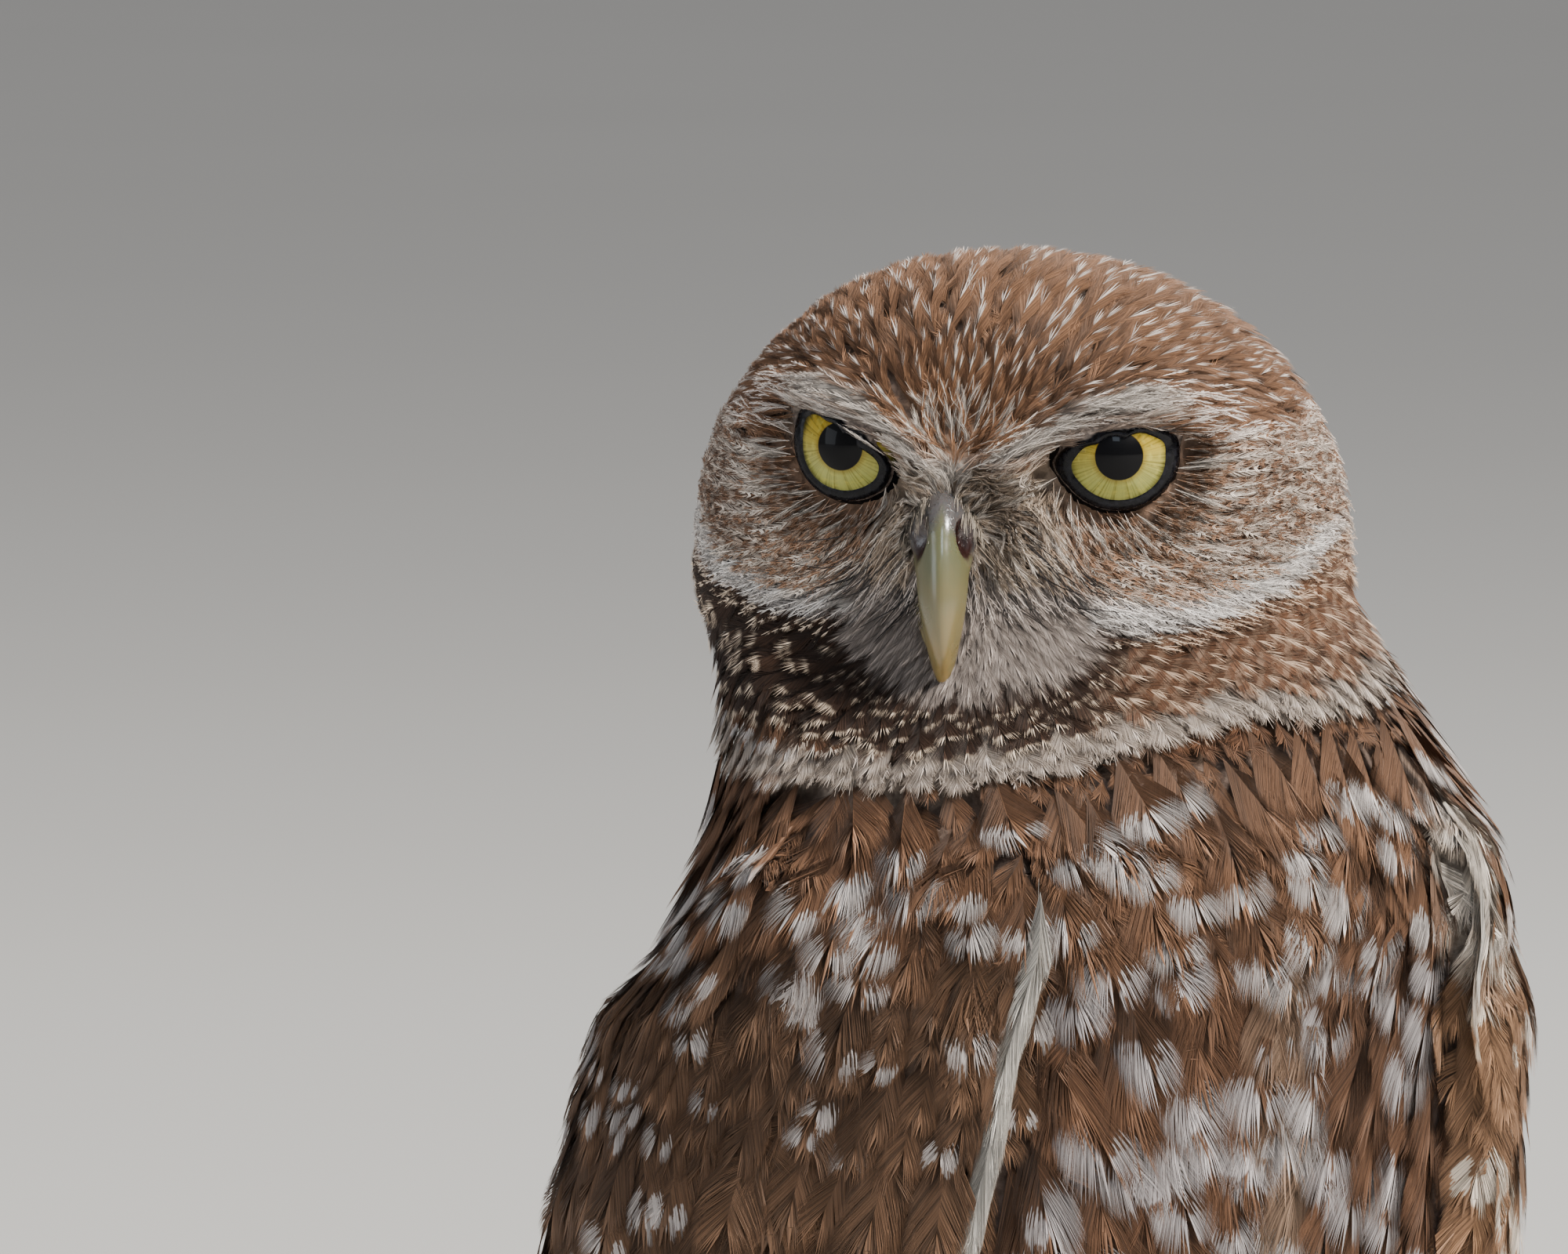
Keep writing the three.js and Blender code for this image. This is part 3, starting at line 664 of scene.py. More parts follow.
@dataclass(frozen=True)
class Eye:
    """One eyeball with its lids, in the head's frame. The side is 1 for the owl's left."""

    side: int
    centre: tuple[float, float, float] = (11.7, -13.6, 10.3)
    radius: float = 6.7
    outward: float = 17.5
    upward: float = 7.0
    iris_radius: float = 4.85
    bulge: float = 0.45
    # Outer edge of the lids, as (towards the temple, up) from the middle of the iris.
    outline: tuple[tuple[float, float], ...] = (
        (-6.1, -0.8), (-5.2, 0.6), (-2.6, 1.45), (0.8, 2.15), (4.2, 2.1), (6.1, 1.2),
        (6.0, -1.0), (4.9, -3.2), (2.9, -4.8), (0.0, -5.45), (-2.6, -4.8), (-4.6, -3.1),
    )

    @property
    def middle(self) -> Array:
        """The eyeball's centre."""
        return np.array(self.centre) * (self.side, 1, 1)

    @property
    def axes(self) -> Array:
        """Rows: towards the temple, up, and the way the eye looks."""
        out, lift = math.radians(self.outward), math.radians(self.upward)
        level = math.cos(lift)
        gaze = np.array([self.side * math.sin(out) * level, -math.cos(out) * level, math.sin(lift)])
        temple = unit(np.cross([0, 0, 1], gaze) * -self.side)
        if temple[0] * self.side < 0:
            temple = -temple
        above = np.cross(gaze, temple) * self.side
        return np.array([temple, above if above[2] > 0 else -above, gaze])

    def local(self, points: Array) -> Array:
        """Places as (towards the temple, up, forwards) from the eyeball's centre."""
        return (points - self.middle) @ self.axes.T

    def beyond(self, head: Array) -> tuple[Array, Array]:
        """The same places as local() gives, and how far each is outside the lids' edge."""
        local = self.local(head)
        return local, np.hypot(local[:, 0], local[:, 1]) - self.edge(np.arctan2(local[:, 1], local[:, 0]))

    def edge(self, angles: Array) -> Array:
        """Distance of the lids' rounded outer edge from the middle of the iris at given angles."""
        points = np.array(self.outline)
        around = np.arctan2(points[:, 1], points[:, 0])
        order = np.argsort(around)
        even = np.linspace(-math.pi, math.pi, 180, endpoint=False)
        reach = np.interp(even, around[order], np.hypot(*points.T)[order], period=2 * math.pi)
        for _ in range(9):
            reach = (np.roll(reach, 1) + 2 * reach + np.roll(reach, -1)) / 4
        return np.interp(angles, even, reach, period=2 * math.pi)

    def ball(self) -> bpy.types.Mesh:
        """Makes the eyeball, with a slight bulge over the iris and the iris's places stored."""
        rings, columns = 72, 96
        polar = np.linspace(0, math.pi, rings + 1)[1:-1]
        p, a = np.meshgrid(polar, circle(columns), indexing="ij")
        body = np.stack([np.sin(p) * np.cos(a), np.sin(p) * np.sin(a), np.cos(p)], axis=-1).reshape(-1, 3)
        body = np.vstack([body, [[0, 0, 1], [0, 0, -1]]]) * self.radius
        body[:, 2] += self.bulge * ramp(self.iris_radius, 0, np.hypot(body[:, 0], body[:, 1])) * (body[:, 2] > 0)
        faces = [face[:: self.side] for face in tube_faces(rings - 1, columns)]
        mesh = mesh_of("eye", HEAD.outside(body @ self.axes + self.middle), faces)
        far = np.where(body[:, 2] > 0, np.hypot(body[:, 0], body[:, 1]) / self.iris_radius, 2.0)
        store(mesh, "iris", "FLOAT_VECTOR", np.column_stack([body[:, :2] / self.iris_radius, far]))
        return mesh

    def lids(self) -> bpy.types.Mesh:
        """Makes the lids: a dark rounded rim on the eyeball, then a fold of grey skin."""
        count = 150
        angles = np.linspace(-math.pi, math.pi, count, endpoint=False)
        reach = self.edge(angles)
        corner = hill(np.abs(np.abs(angles) - math.pi), 0.3) * 0.8 + hill(np.abs(angles - 0.1), 0.4) * 0.7
        width = 0.5 + 0.34 * ramp(0.3, -0.5, np.sin(angles)) + corner
        top = ramp(0.0, 0.5, np.sin(angles))
        wrinkle = 0.06 * np.sin(angles * 23) * np.sin(angles * 7 + 1)
        profile = (
            (-1.2 * width, -0.3, 0.0), (-width, -0.02, 0.0), (-0.75 * width, 0.2, 0.0), (-0.4 * width, 0.34, 0.0),
            (-0.1 * width, 0.3, 0.0), (0.1 + 0.08 * top, 0.1, 0.15), (0.16 + 0.3 * top, 0.04 * top, 0.6),
            (0.22 + 0.65 * top, (0.38 + wrinkle) * top - 0.2 * (1 - top), 1.0),
            (0.3 + 1.1 * top, (0.3 - wrinkle) * top - 0.6 * (1 - top), 1.0),
            (0.4 + 1.7 * top, -0.3 * top - 1.2 * (1 - top), 1.0), (0.5 + 2.4 * top, -1.8, 1.0),
        )
        rows, folds = [], []
        for offset, rise, fold in profile:
            tilt = np.arcsin(np.clip((reach + np.minimum(offset, 0)) / (self.radius + self.bulge), 0, 0.999))
            ball = np.column_stack([np.cos(angles) * np.sin(tilt), np.sin(angles) * np.sin(tilt), np.cos(tilt)])
            spread = np.column_stack([np.cos(angles), np.sin(angles), 0 * angles]) * np.maximum(offset, 0)[:, None]
            rows.append(ball * (self.radius + 0.08 + (rise if fold == 0 else 0.0)) + spread)
            rows[-1][:, 2] += np.where(fold > 0, rise - 0.3 * np.maximum(offset, 0), 0)
            rows[-1][:, 2] += self.bulge * ramp(self.iris_radius, 0, self.radius * np.sin(tilt))
            folds.append(np.full(count, fold))
        points = HEAD.outside(np.vstack(rows) @ self.axes + self.middle)
        mesh = mesh_of("lid", points, [face[:: -self.side] for face in ring_quads(len(rows), count)])
        store(mesh, "fold", "FLOAT", np.concatenate(folds))
        return mesh

    def build(self) -> list[bpy.types.Object]:
        """Makes and dresses the eyeball and its lids."""
        word = "left" if self.side > 0 else "right"
        return [
            dress(f"eyeball_{word}", self.ball(), IrisFinish().make(), "eye", f"eye_{word}"),
            dress(f"lids_{word}", self.lids(), LidFinish().make(), "head_plumage"),
        ]


EYES = (
    Eye(1, outward=18.0),
    Eye(
        -1,
        outward=11.0,
        outline=(
            (-4.7, -1.9), (-4.1, -0.5), (-2.6, 0.7), (-0.5, 1.8), (2.0, 2.7), (4.4, 3.2), (5.8, 2.5), (6.2, 0.5),
            (5.6, -2.2), (4.0, -4.3), (1.2, -5.4), (-1.8, -5.1), (-3.9, -3.8),
        ),
    ),
)


# ---- Bill and claws


def swept(centres: Array, sides: Array, ups: Array, sections: Array) -> tuple[Array, list]:
    """Sweeps a changing outline along a line.

    Args:
        centres: the line, one row for each station.
        sides: the sideways axis at each station.
        ups: the upward axis at each station.
        sections: for each station, the outline's (sideways, up) points.

    Returns:
        Vertices and faces of a closed solid.
    """
    stations, around = sections.shape[:2]
    grid = centres[:, None] + sections[..., :1] * sides[:, None] + sections[..., 1:] * ups[:, None]
    points = np.vstack([grid.reshape(-1, 3), centres[:1], centres[-1:]])
    return points, tube_faces(stations, around)


def curve_through(points: Array, count: int) -> Array:
    """A smooth line through given points, with evenly shared parameter."""
    points = np.asarray(points, dtype=float)
    padded = np.vstack([2 * points[0] - points[1], points, 2 * points[-1] - points[-2]])
    t = np.linspace(0, len(points) - 1 - 1e-9, count)
    i = t.astype(int)
    f = (t - i)[:, None]
    a, b, c, d = (padded[i + k] for k in range(4))
    return 0.5 * (2 * b + (c - a) * f + (2 * a - 5 * b + 4 * c - d) * f**2 + (3 * b - a - 3 * c + d) * f**3)


@dataclass(frozen=True)
class Bill:
    """Hooked bill with a waxy base. Stations are (forwards, up, half width, half depth)."""

    upper: tuple[tuple[float, ...], ...] = (
        (18.0, 3.0, 2.9, 3.6), (21.6, 4.2, 3.1, 3.7), (24.2, 4.1, 3.2, 3.6), (25.7, 2.6, 2.85, 3.3),
        (26.8, 0.9, 2.5, 3.0), (27.9, -2.1, 2.2, 2.6), (28.4, -5.4, 1.6, 2.0), (28.3, -8.2, 0.9, 1.15),
        (28.0, -9.9, 0.26, 0.4),
    )
    lower: tuple[tuple[float, ...], ...] = (
        (18.5, -1.5, 2.8, 1.9), (22.6, -3.4, 2.8, 1.8), (25.4, -6.0, 1.9, 1.2), (26.4, -7.8, 0.6, 0.4),
    )
    aside: float = -2.3
    turn: float = 10.0
    pivot: float = 24.0
    nostril: tuple[float, float, float] = (2.6, -26.2, 4.1)
    nostril_radius: float = 1.3
    ridge: float = 0.85
    rings: int = 46
    around: int = 40

    def half(self, stations: Sequence[Sequence[float]], ridge: float) -> tuple[Array, list, Array]:
        """Makes one half of the bill.

        Args:
            stations: its line and sizes.
            ridge: how sharp its back is.

        Returns:
            Vertices in the head's frame, faces, and what the finish reads.
        """
        table = curve_through(np.array(stations), self.rings)
        centres = np.column_stack([np.full(len(table), self.aside), -table[:, 0], table[:, 1]])
        run = unit(np.gradient(centres, axis=0))
        sides = np.tile([1.0, 0.0, 0.0], (len(table), 1))
        ups = np.cross(sides, run) * -1
        ups *= np.sign((ups * (0, -1, 1)).sum(axis=1))[:, None]
        angle = circle(self.around)
        across, above = np.cos(angle), np.sin(angle)
        above = np.sign(above) * np.abs(above) ** np.where(above > 0, 1 / ridge, 0.8)
        sections = np.stack(
            [across * table[:, 2:3] * (1 - 0.25 * np.maximum(above, 0)), above * table[:, 3:4]], axis=-1
        )
        points, faces = swept(centres, sides, ups, sections)
        share = np.append(np.repeat(np.linspace(0, 1, len(table)), len(angle)), [0, 1])
        side = np.append(np.tile(across, len(table)), [0, 0])
        return points, faces, np.column_stack([share, side, np.zeros(len(share))])

    def placed(self, points: Array) -> Array:
        """Turns points of the bill about its root and sets them on the head."""
        turn = math.radians(self.turn)
        x, y, z = (points - (self.aside, -self.pivot, 0)).T
        turned = [x * math.cos(turn) - y * math.sin(turn), x * math.sin(turn) + y * math.cos(turn), z]
        return HEAD.outside(np.column_stack(turned) + (self.aside, -self.pivot, 0))

    def build(self) -> list[bpy.types.Object]:
        """Makes and dresses both halves."""
        points, faces, horn = self.half(self.upper, self.ridge)
        for sign in (1, -1):
            mouth = np.array(self.nostril) * (sign, 1, 1) + (self.aside, 0, 0)
            near = np.linalg.norm((points - mouth) * (1.0, 1.0, 0.72), axis=1)
            depth = hill(near, self.nostril_radius)
            points[:, 0] -= sign * 1.3 * depth
            points[:, 1] += 0.6 * depth
            rim = hill(near - self.nostril_radius * 1.5, 0.35) * 0.16
            points[:, 0] += sign * rim
            horn[:, 2] = np.maximum(horn[:, 2], hill(near, self.nostril_radius * 1.05))
        lower = self.half(self.lower, 1.0)
        lower[2][:, 0] = 0.5 + lower[2][:, 0] * 0.4
        finish = BillFinish().make()
        pieces = []
        halves = (("bill_horn", "bill_upper", (points, faces, horn)), ("bill_mandible", "bill_lower", lower))
        for name, node, (points, faces, horn) in halves:
            mesh = mesh_of(name, self.placed(points), faces)
            store(mesh, "horn", "FLOAT_VECTOR", horn)
            pieces.append(dress(name, mesh, finish, "bill", node))
        return pieces


@dataclass(frozen=True)
class Toe:
    """One toe of the left foot: its name, heading from straight ahead, length and radius."""

    name: str
    heading: float
    length: float
    radius: float


@dataclass(frozen=True)
class Foot:
    """A foot on the ground, with scaly toes and four claws. The side is 1 for the left."""

    side: int
    ankle: tuple[float, float] = (14.5, 0.717)
    claw_length: float = 8.2
    claw_radius: float = 1.15
    toes: tuple[Toe, ...] = (
        Toe("inner", -14, 19, 2.3), Toe("middle", 8, 23, 2.4), Toe("outer", 62, 19, 2.2), Toe("hind", 190, 13, 2.2),
    )

    def way(self, toe: Toe) -> Array:
        """Which way a toe points."""
        angle = math.radians(toe.heading)
        return np.array([self.side * math.sin(angle), -math.cos(angle), 0.0])

    def claw(self, toe: Toe) -> tuple[Array, list]:
        """Makes a bent, pointed claw from the top of the toe's end."""
        t = np.linspace(0, 1, 24)
        height = toe.radius + 0.4
        fall = (height - 0.7) * t**1.8
        rise = 1.5 * np.sin(t * math.pi)
        way = self.way(toe)
        start = np.array([self.side * self.ankle[0], self.ankle[1], height])
        centres = start + way * (toe.length - 1.8 + t * self.claw_length * 0.88)[:, None]
        centres[:, 2] += rise - fall
        run = unit(np.gradient(centres, axis=0))
        sides = np.tile(np.cross(way, [0, 0, 1]), (len(t), 1))
        ups = np.cross(sides, run)
        radius = self.claw_radius * (1 - t**1.5 * 0.86) * np.minimum(1, (t + 0.04) * 8) ** 0.5
        return swept(centres, sides, ups, rounds(radius * 0.86, radius, circle(20)))

    def joint(self) -> bpy.types.Object:
        """Makes the thick ankle between the pad and the shank."""
        height = np.linspace(3.6, 27.0, 24)
        centres = np.column_stack([
            self.side * np.interp(height, (3.5, 47), (14.5, 13.5)), np.interp(height, (3.5, 47), (0.72, 6.22)), height,
        ])
        radius = np.interp(height, (3.6, 5.6, 8.0, 13.0, 25.0, 27.0), (4.0, 3.6, 3.15, 2.95, 3.1, 2.9))
        sides, ups = (np.tile(axis, (len(height), 1)) for axis in ([1.0, 0.0, 0.0], [0.0, -1.0, 0.0]))
        return make_object("joint", mesh_of("joint", *swept(centres, sides, ups, rounds(radius, radius, circle(24)))))

    def skin(self, frame: dict) -> bpy.types.Mesh:
        """Makes the foot's skin: foot, ankle and shank in one, with broad scales over each toe."""
        word = "left" if self.side > 0 else "right"
        joint = self.joint()
        points, faces = fused([frame["nodes"][f"foot_{word}"], frame["nodes"][f"shank_{word}"], joint], 0.42, 2)
        bpy.data.objects.remove(joint)
        points[:, 2] = np.where(points[:, 2] < 0.35, np.maximum(points[:, 2] - 0.1, 0.0), points[:, 2])
        surface = Surface(points, faces)
        base = np.array([self.side * self.ankle[0], self.ankle[1], 0.0])
        best = np.full(len(points), 1e9)
        ridge = np.zeros(len(points))
        for toe in self.toes:
            way = self.way(toe)
            far = (points - base) @ way
            off = np.linalg.norm(points[:, :2] - base[:2] - np.outer(far, way[:2]), axis=1)
            off = off + np.where(far < 0, 99, 0)
            scute = np.abs(np.sin(far * math.pi / 1.7)) ** 0.5 - 0.6
            ridge = np.where(off < best, scute * ramp(2.0, 5.0, far), ridge)
            best = np.minimum(best, off)
        above = ramp(-0.1, 0.6, surface.normals[:, 2]) * ramp(7.0, 5.5, points[:, 2])
        shank = ramp(5.5, 8.0, points[:, 2]) * (np.abs(np.sin(points[:, 2] * math.pi / 2.2)) ** 0.5 - 0.6)
        points = points + surface.normals * ((ridge * above + shank) * 0.2)[:, None]
        points[:, 2] = np.maximum(points[:, 2], 0.0)
        return mesh_of("foot", points, faces)

    def build(self, frame: dict) -> list[bpy.types.Object]:
        """Makes and dresses the foot and its claws."""
        word = "left" if self.side > 0 else "right"
        solids = (f"foot_{word}", f"shank_{word}")
        pieces = [dress(f"toes_{word}", self.skin(frame), ToeFinish().make(), "toe_skin", *solids)]
        finish = ClawFinish().make()
        for toe in self.toes:
            mesh = mesh_of("talon", *self.claw(toe))
            pieces.append(dress(f"talon_{word}_{toe.name}", mesh, finish, "claw", f"claw_{word}_{toe.name}"))
        return pieces


# ---- Markings


class Part(IntEnum):
    """Which part of the owl a place belongs to."""

    HEAD = 0
    TRUNK = 1
    WING = 2
    THIGH = 3


@dataclass(frozen=True)
class Marking:
    """What a patch of coat looks like: dark ground, light marks, and which marks it bears."""

    ground: Colour
    light: Colour
    spot: float = 0.0
    bars: float = 0.0
    streak: float = 0.0

    def row(self) -> Array:
        """All nine numbers in a row."""
        return np.array([*self.ground, *self.light, self.spot, self.bars, self.streak])


def shade(ground: tuple[int, ...], light: tuple[int, ...], **marks: float) -> Marking:
    """A marking with its colours as seen on a screen."""
    return Marking(linear(*ground), linear(*light), **marks)


class Markings:
    """The owl's colours, as a function of place. Skin and feathers both ask it."""

    crown = shade((142, 104, 77), (228, 214, 204), streak=1.05)
    forehead = shade((182, 134, 99), (234, 220, 206), streak=1.0)
    fold = shade((150, 138, 128), (206, 196, 186))
    brow = shade((206, 195, 184), (232, 224, 216))
    cheek = shade((158, 121, 95), (230, 216, 202), bars=0.35)
    temple = shade((118, 88, 68), (204, 188, 174), bars=0.5)
    lore = shade((168, 148, 128), (214, 200, 186), bars=0.3)
    malar = shade((216, 208, 202), (234, 228, 222))
    chin = shade((178, 164, 155), (196, 183, 174))
    ruff = shade((62, 43, 32), (226, 204, 180), streak=2.0)
    band = shade((112, 78, 56), (190, 162, 138), bars=0.3, streak=0.6)
    collar = shade((188, 172, 158), (210, 200, 194), bars=0.2)
    nape = shade((118, 84, 62), (200, 188, 178), streak=0.8)
    breast = shade((106, 75, 54), (180, 172, 171), spot=1.35)
    seam = shade((186, 164, 142), (216, 208, 200))
    belly = shade((150, 116, 86), (226, 216, 204), bars=1.0)
    vent = shade((222, 212, 198), (228, 220, 208))
    back = shade((112, 80, 57), (200, 190, 182), spot=0.9)
    shawl = shade((130, 94, 69), (200, 191, 186), spot=1.1)
    bend = shade((228, 216, 202), (166, 132, 102), bars=0.35)
    wing = shade((106, 78, 57), (190, 180, 175), spot=0.6)
    lining = shade((158, 120, 90), (226, 210, 192), spot=1.0)
    thigh = shade((208, 194, 174), (222, 212, 198))

    @staticmethod
    def stripe(head: Array, line: Sequence[Sequence[float]], spread: float) -> Array:
        """1 on a stripe of that half width across the face, 0 well off it; its points are (aside, up)."""
        side, up = np.abs(HEAD.beside(head)), head[:, 2]
        best = np.full(len(head), 1e9)
        for (x0, z0), (x1, z1) in zip(line[:-1], line[1:]):
            dx, dz = x1 - x0, z1 - z0
            t = np.clip(((side - x0) * dx + (up - z0) * dz) / (dx * dx + dz * dz), 0, 1)
            best = np.minimum(best, np.hypot(side - x0 - t * dx, up - z0 - t * dz))
        return ramp(spread * 1.35, spread * 0.65, best)

    brow_line = (
        (0.0, 10.0), (4.5, 11.2), (8.2, 13.5), (12.0, 15.8), (15.5, 16.7), (19.0, 15.7), (22.5, 14.0), (25.5, 12.6),
    )
    collar_under = -15.8
    malar_line = ((12.0, -3.6), (18.0, -4.6), (23.5, -3.4), (27.5, -2.3), (30.0, 0.6))
    band_line = ((20.0, -8.2), (26.0, -6.6), (31.0, -5.0), (31.0, 0.0))
    collar_side = (-24.0, -9.0, -2.0, 10.0, 20.0, 26.0, 33.0)
    collar_up = (-17.0, -15.4, -15.1, -13.6, -11.6, -10.6, -12.4)

    @staticmethod
    def collar_height(head: Array) -> Array:
        """Height of the collar's middle line, in the head's frame."""
        return np.interp(head[:, 0], Markings.collar_side, Markings.collar_up)

    def of(self, places: Array, part: Array) -> Array:
        """Finds the markings at places.

        Args:
            places: in millimetres.
            part: each place's Part, as a number.

        Returns:
            Rows of ground, light and the three kinds of mark.
        """
        head = HEAD.inside(places)
        side, forward, up = np.abs(HEAD.beside(head)), -head[:, 1], head[:, 2]
        on_head = part == Part.HEAD
        z = places[:, 2]
        rows = np.tile(self.breast.row(), (len(places), 1))

        def lay(marking: Marking, weight: Array) -> None:
            """Lays a marking over the rows, as far as the weight says."""
            rows[:] += (marking.row() - rows) * np.clip(weight, 0, 1)[:, None]

        behind = ramp(-2.0, 14.0, places[:, 1])
        lay(self.belly, ramp(112, 92, z))
        lay(self.back, behind)
        lay(self.vent, ramp(72, 58, z) * (1 - behind))
        middle = ramp(4.0, 1.5, np.abs(places[:, 0] - 1.8)) * ramp(-20, -30, places[:, 1]) * ramp(168, 160, z)
        lay(self.seam, middle * 0.3)
        wing = (part == Part.WING).astype(float)
        lay(self.wing, wing)
        past = np.abs(places[:, 0]) - Flesh.wing_front(z)
        near_edge = ramp(13, 7, past) * (places[:, 0] > 0) * ramp(-8, -20, places[:, 1])
        lay(self.lining, wing * near_edge * ramp(112, 126, z))
        lay(self.shawl, ramp(153, 159, z) * 0.9)
        bend = ramp(-4.0, -1.5, past) * ramp(5.0, 3.0, past) * near_edge
        lay(self.bend, bend * ramp(151, 156, z) * ramp(171, 167, z))
        lay(self.thigh, (part == Part.THIGH).astype(float))
        face = on_head * ramp(-6.0, 0.0, forward)
        above = ramp(-16.0, -14.6, up)
        lay(self.nape, on_head * above)
        lay(self.crown, on_head * ramp(6, 11, up + 0.25 * (side - 16)))
        low = np.hypot(side, up - 11)
        lay(self.forehead, face * ramp(13, 6, low) * ramp(8, 10, up))
        lay(self.cheek, face * ramp(12.5, 9.0, up) * ramp(-6.5, -4.0, up) * ramp(31, 27, side))
        eye = np.hypot(side - 13.5, up - 9)
        lay(self.temple, face * ramp(10, 13, side) * ramp(9.5, 13, eye) * ramp(12.5, 9.0, up) * ramp(-2, 1, up))
        lay(self.lore, face * ramp(11, 7.5, side) * ramp(11.5, 9.5, up) * ramp(-6, -4, up))
        lay(self.ruff, face * ramp(-4.5, -7.0, up - side * 0.08) * above)
        lay(self.band, face * ramp(-5.5, -7.5, up) * above * ramp(12, 18, head[:, 0]))
        lay(self.chin, face * ramp(14.2, 12.4, np.hypot(side, (up + 4.4) * 2.3)) * ramp(0.0, -2.0, up))
        lay(self.band, face * self.stripe(head, self.band_line, 2.6) * ramp(-2, 6, head[:, 0]))
        lay(self.malar, face * self.stripe(head, self.malar_line, 1.05))
        lay(self.brow, face * self.stripe(head, self.brow_line, 1.05) * ramp(21, 17, side))
        low_head = np.where(on_head | (part == Part.TRUNK), 1.0, 0.0) * ramp(-8, -2, forward)
        lay(self.collar, low_head * ramp(1.5, 0.8, np.abs(up - self.collar_height(head) + 1.2)))
        for eye in EYES:
            local, off = eye.beyond(head)
            lay(self.fold, face * ramp(2.4, 1.2, off) * ramp(-0.2, 0.8, local[:, 1]) * (local[:, 2] > 0) * 0.7)
        return rows


# ---- The skin


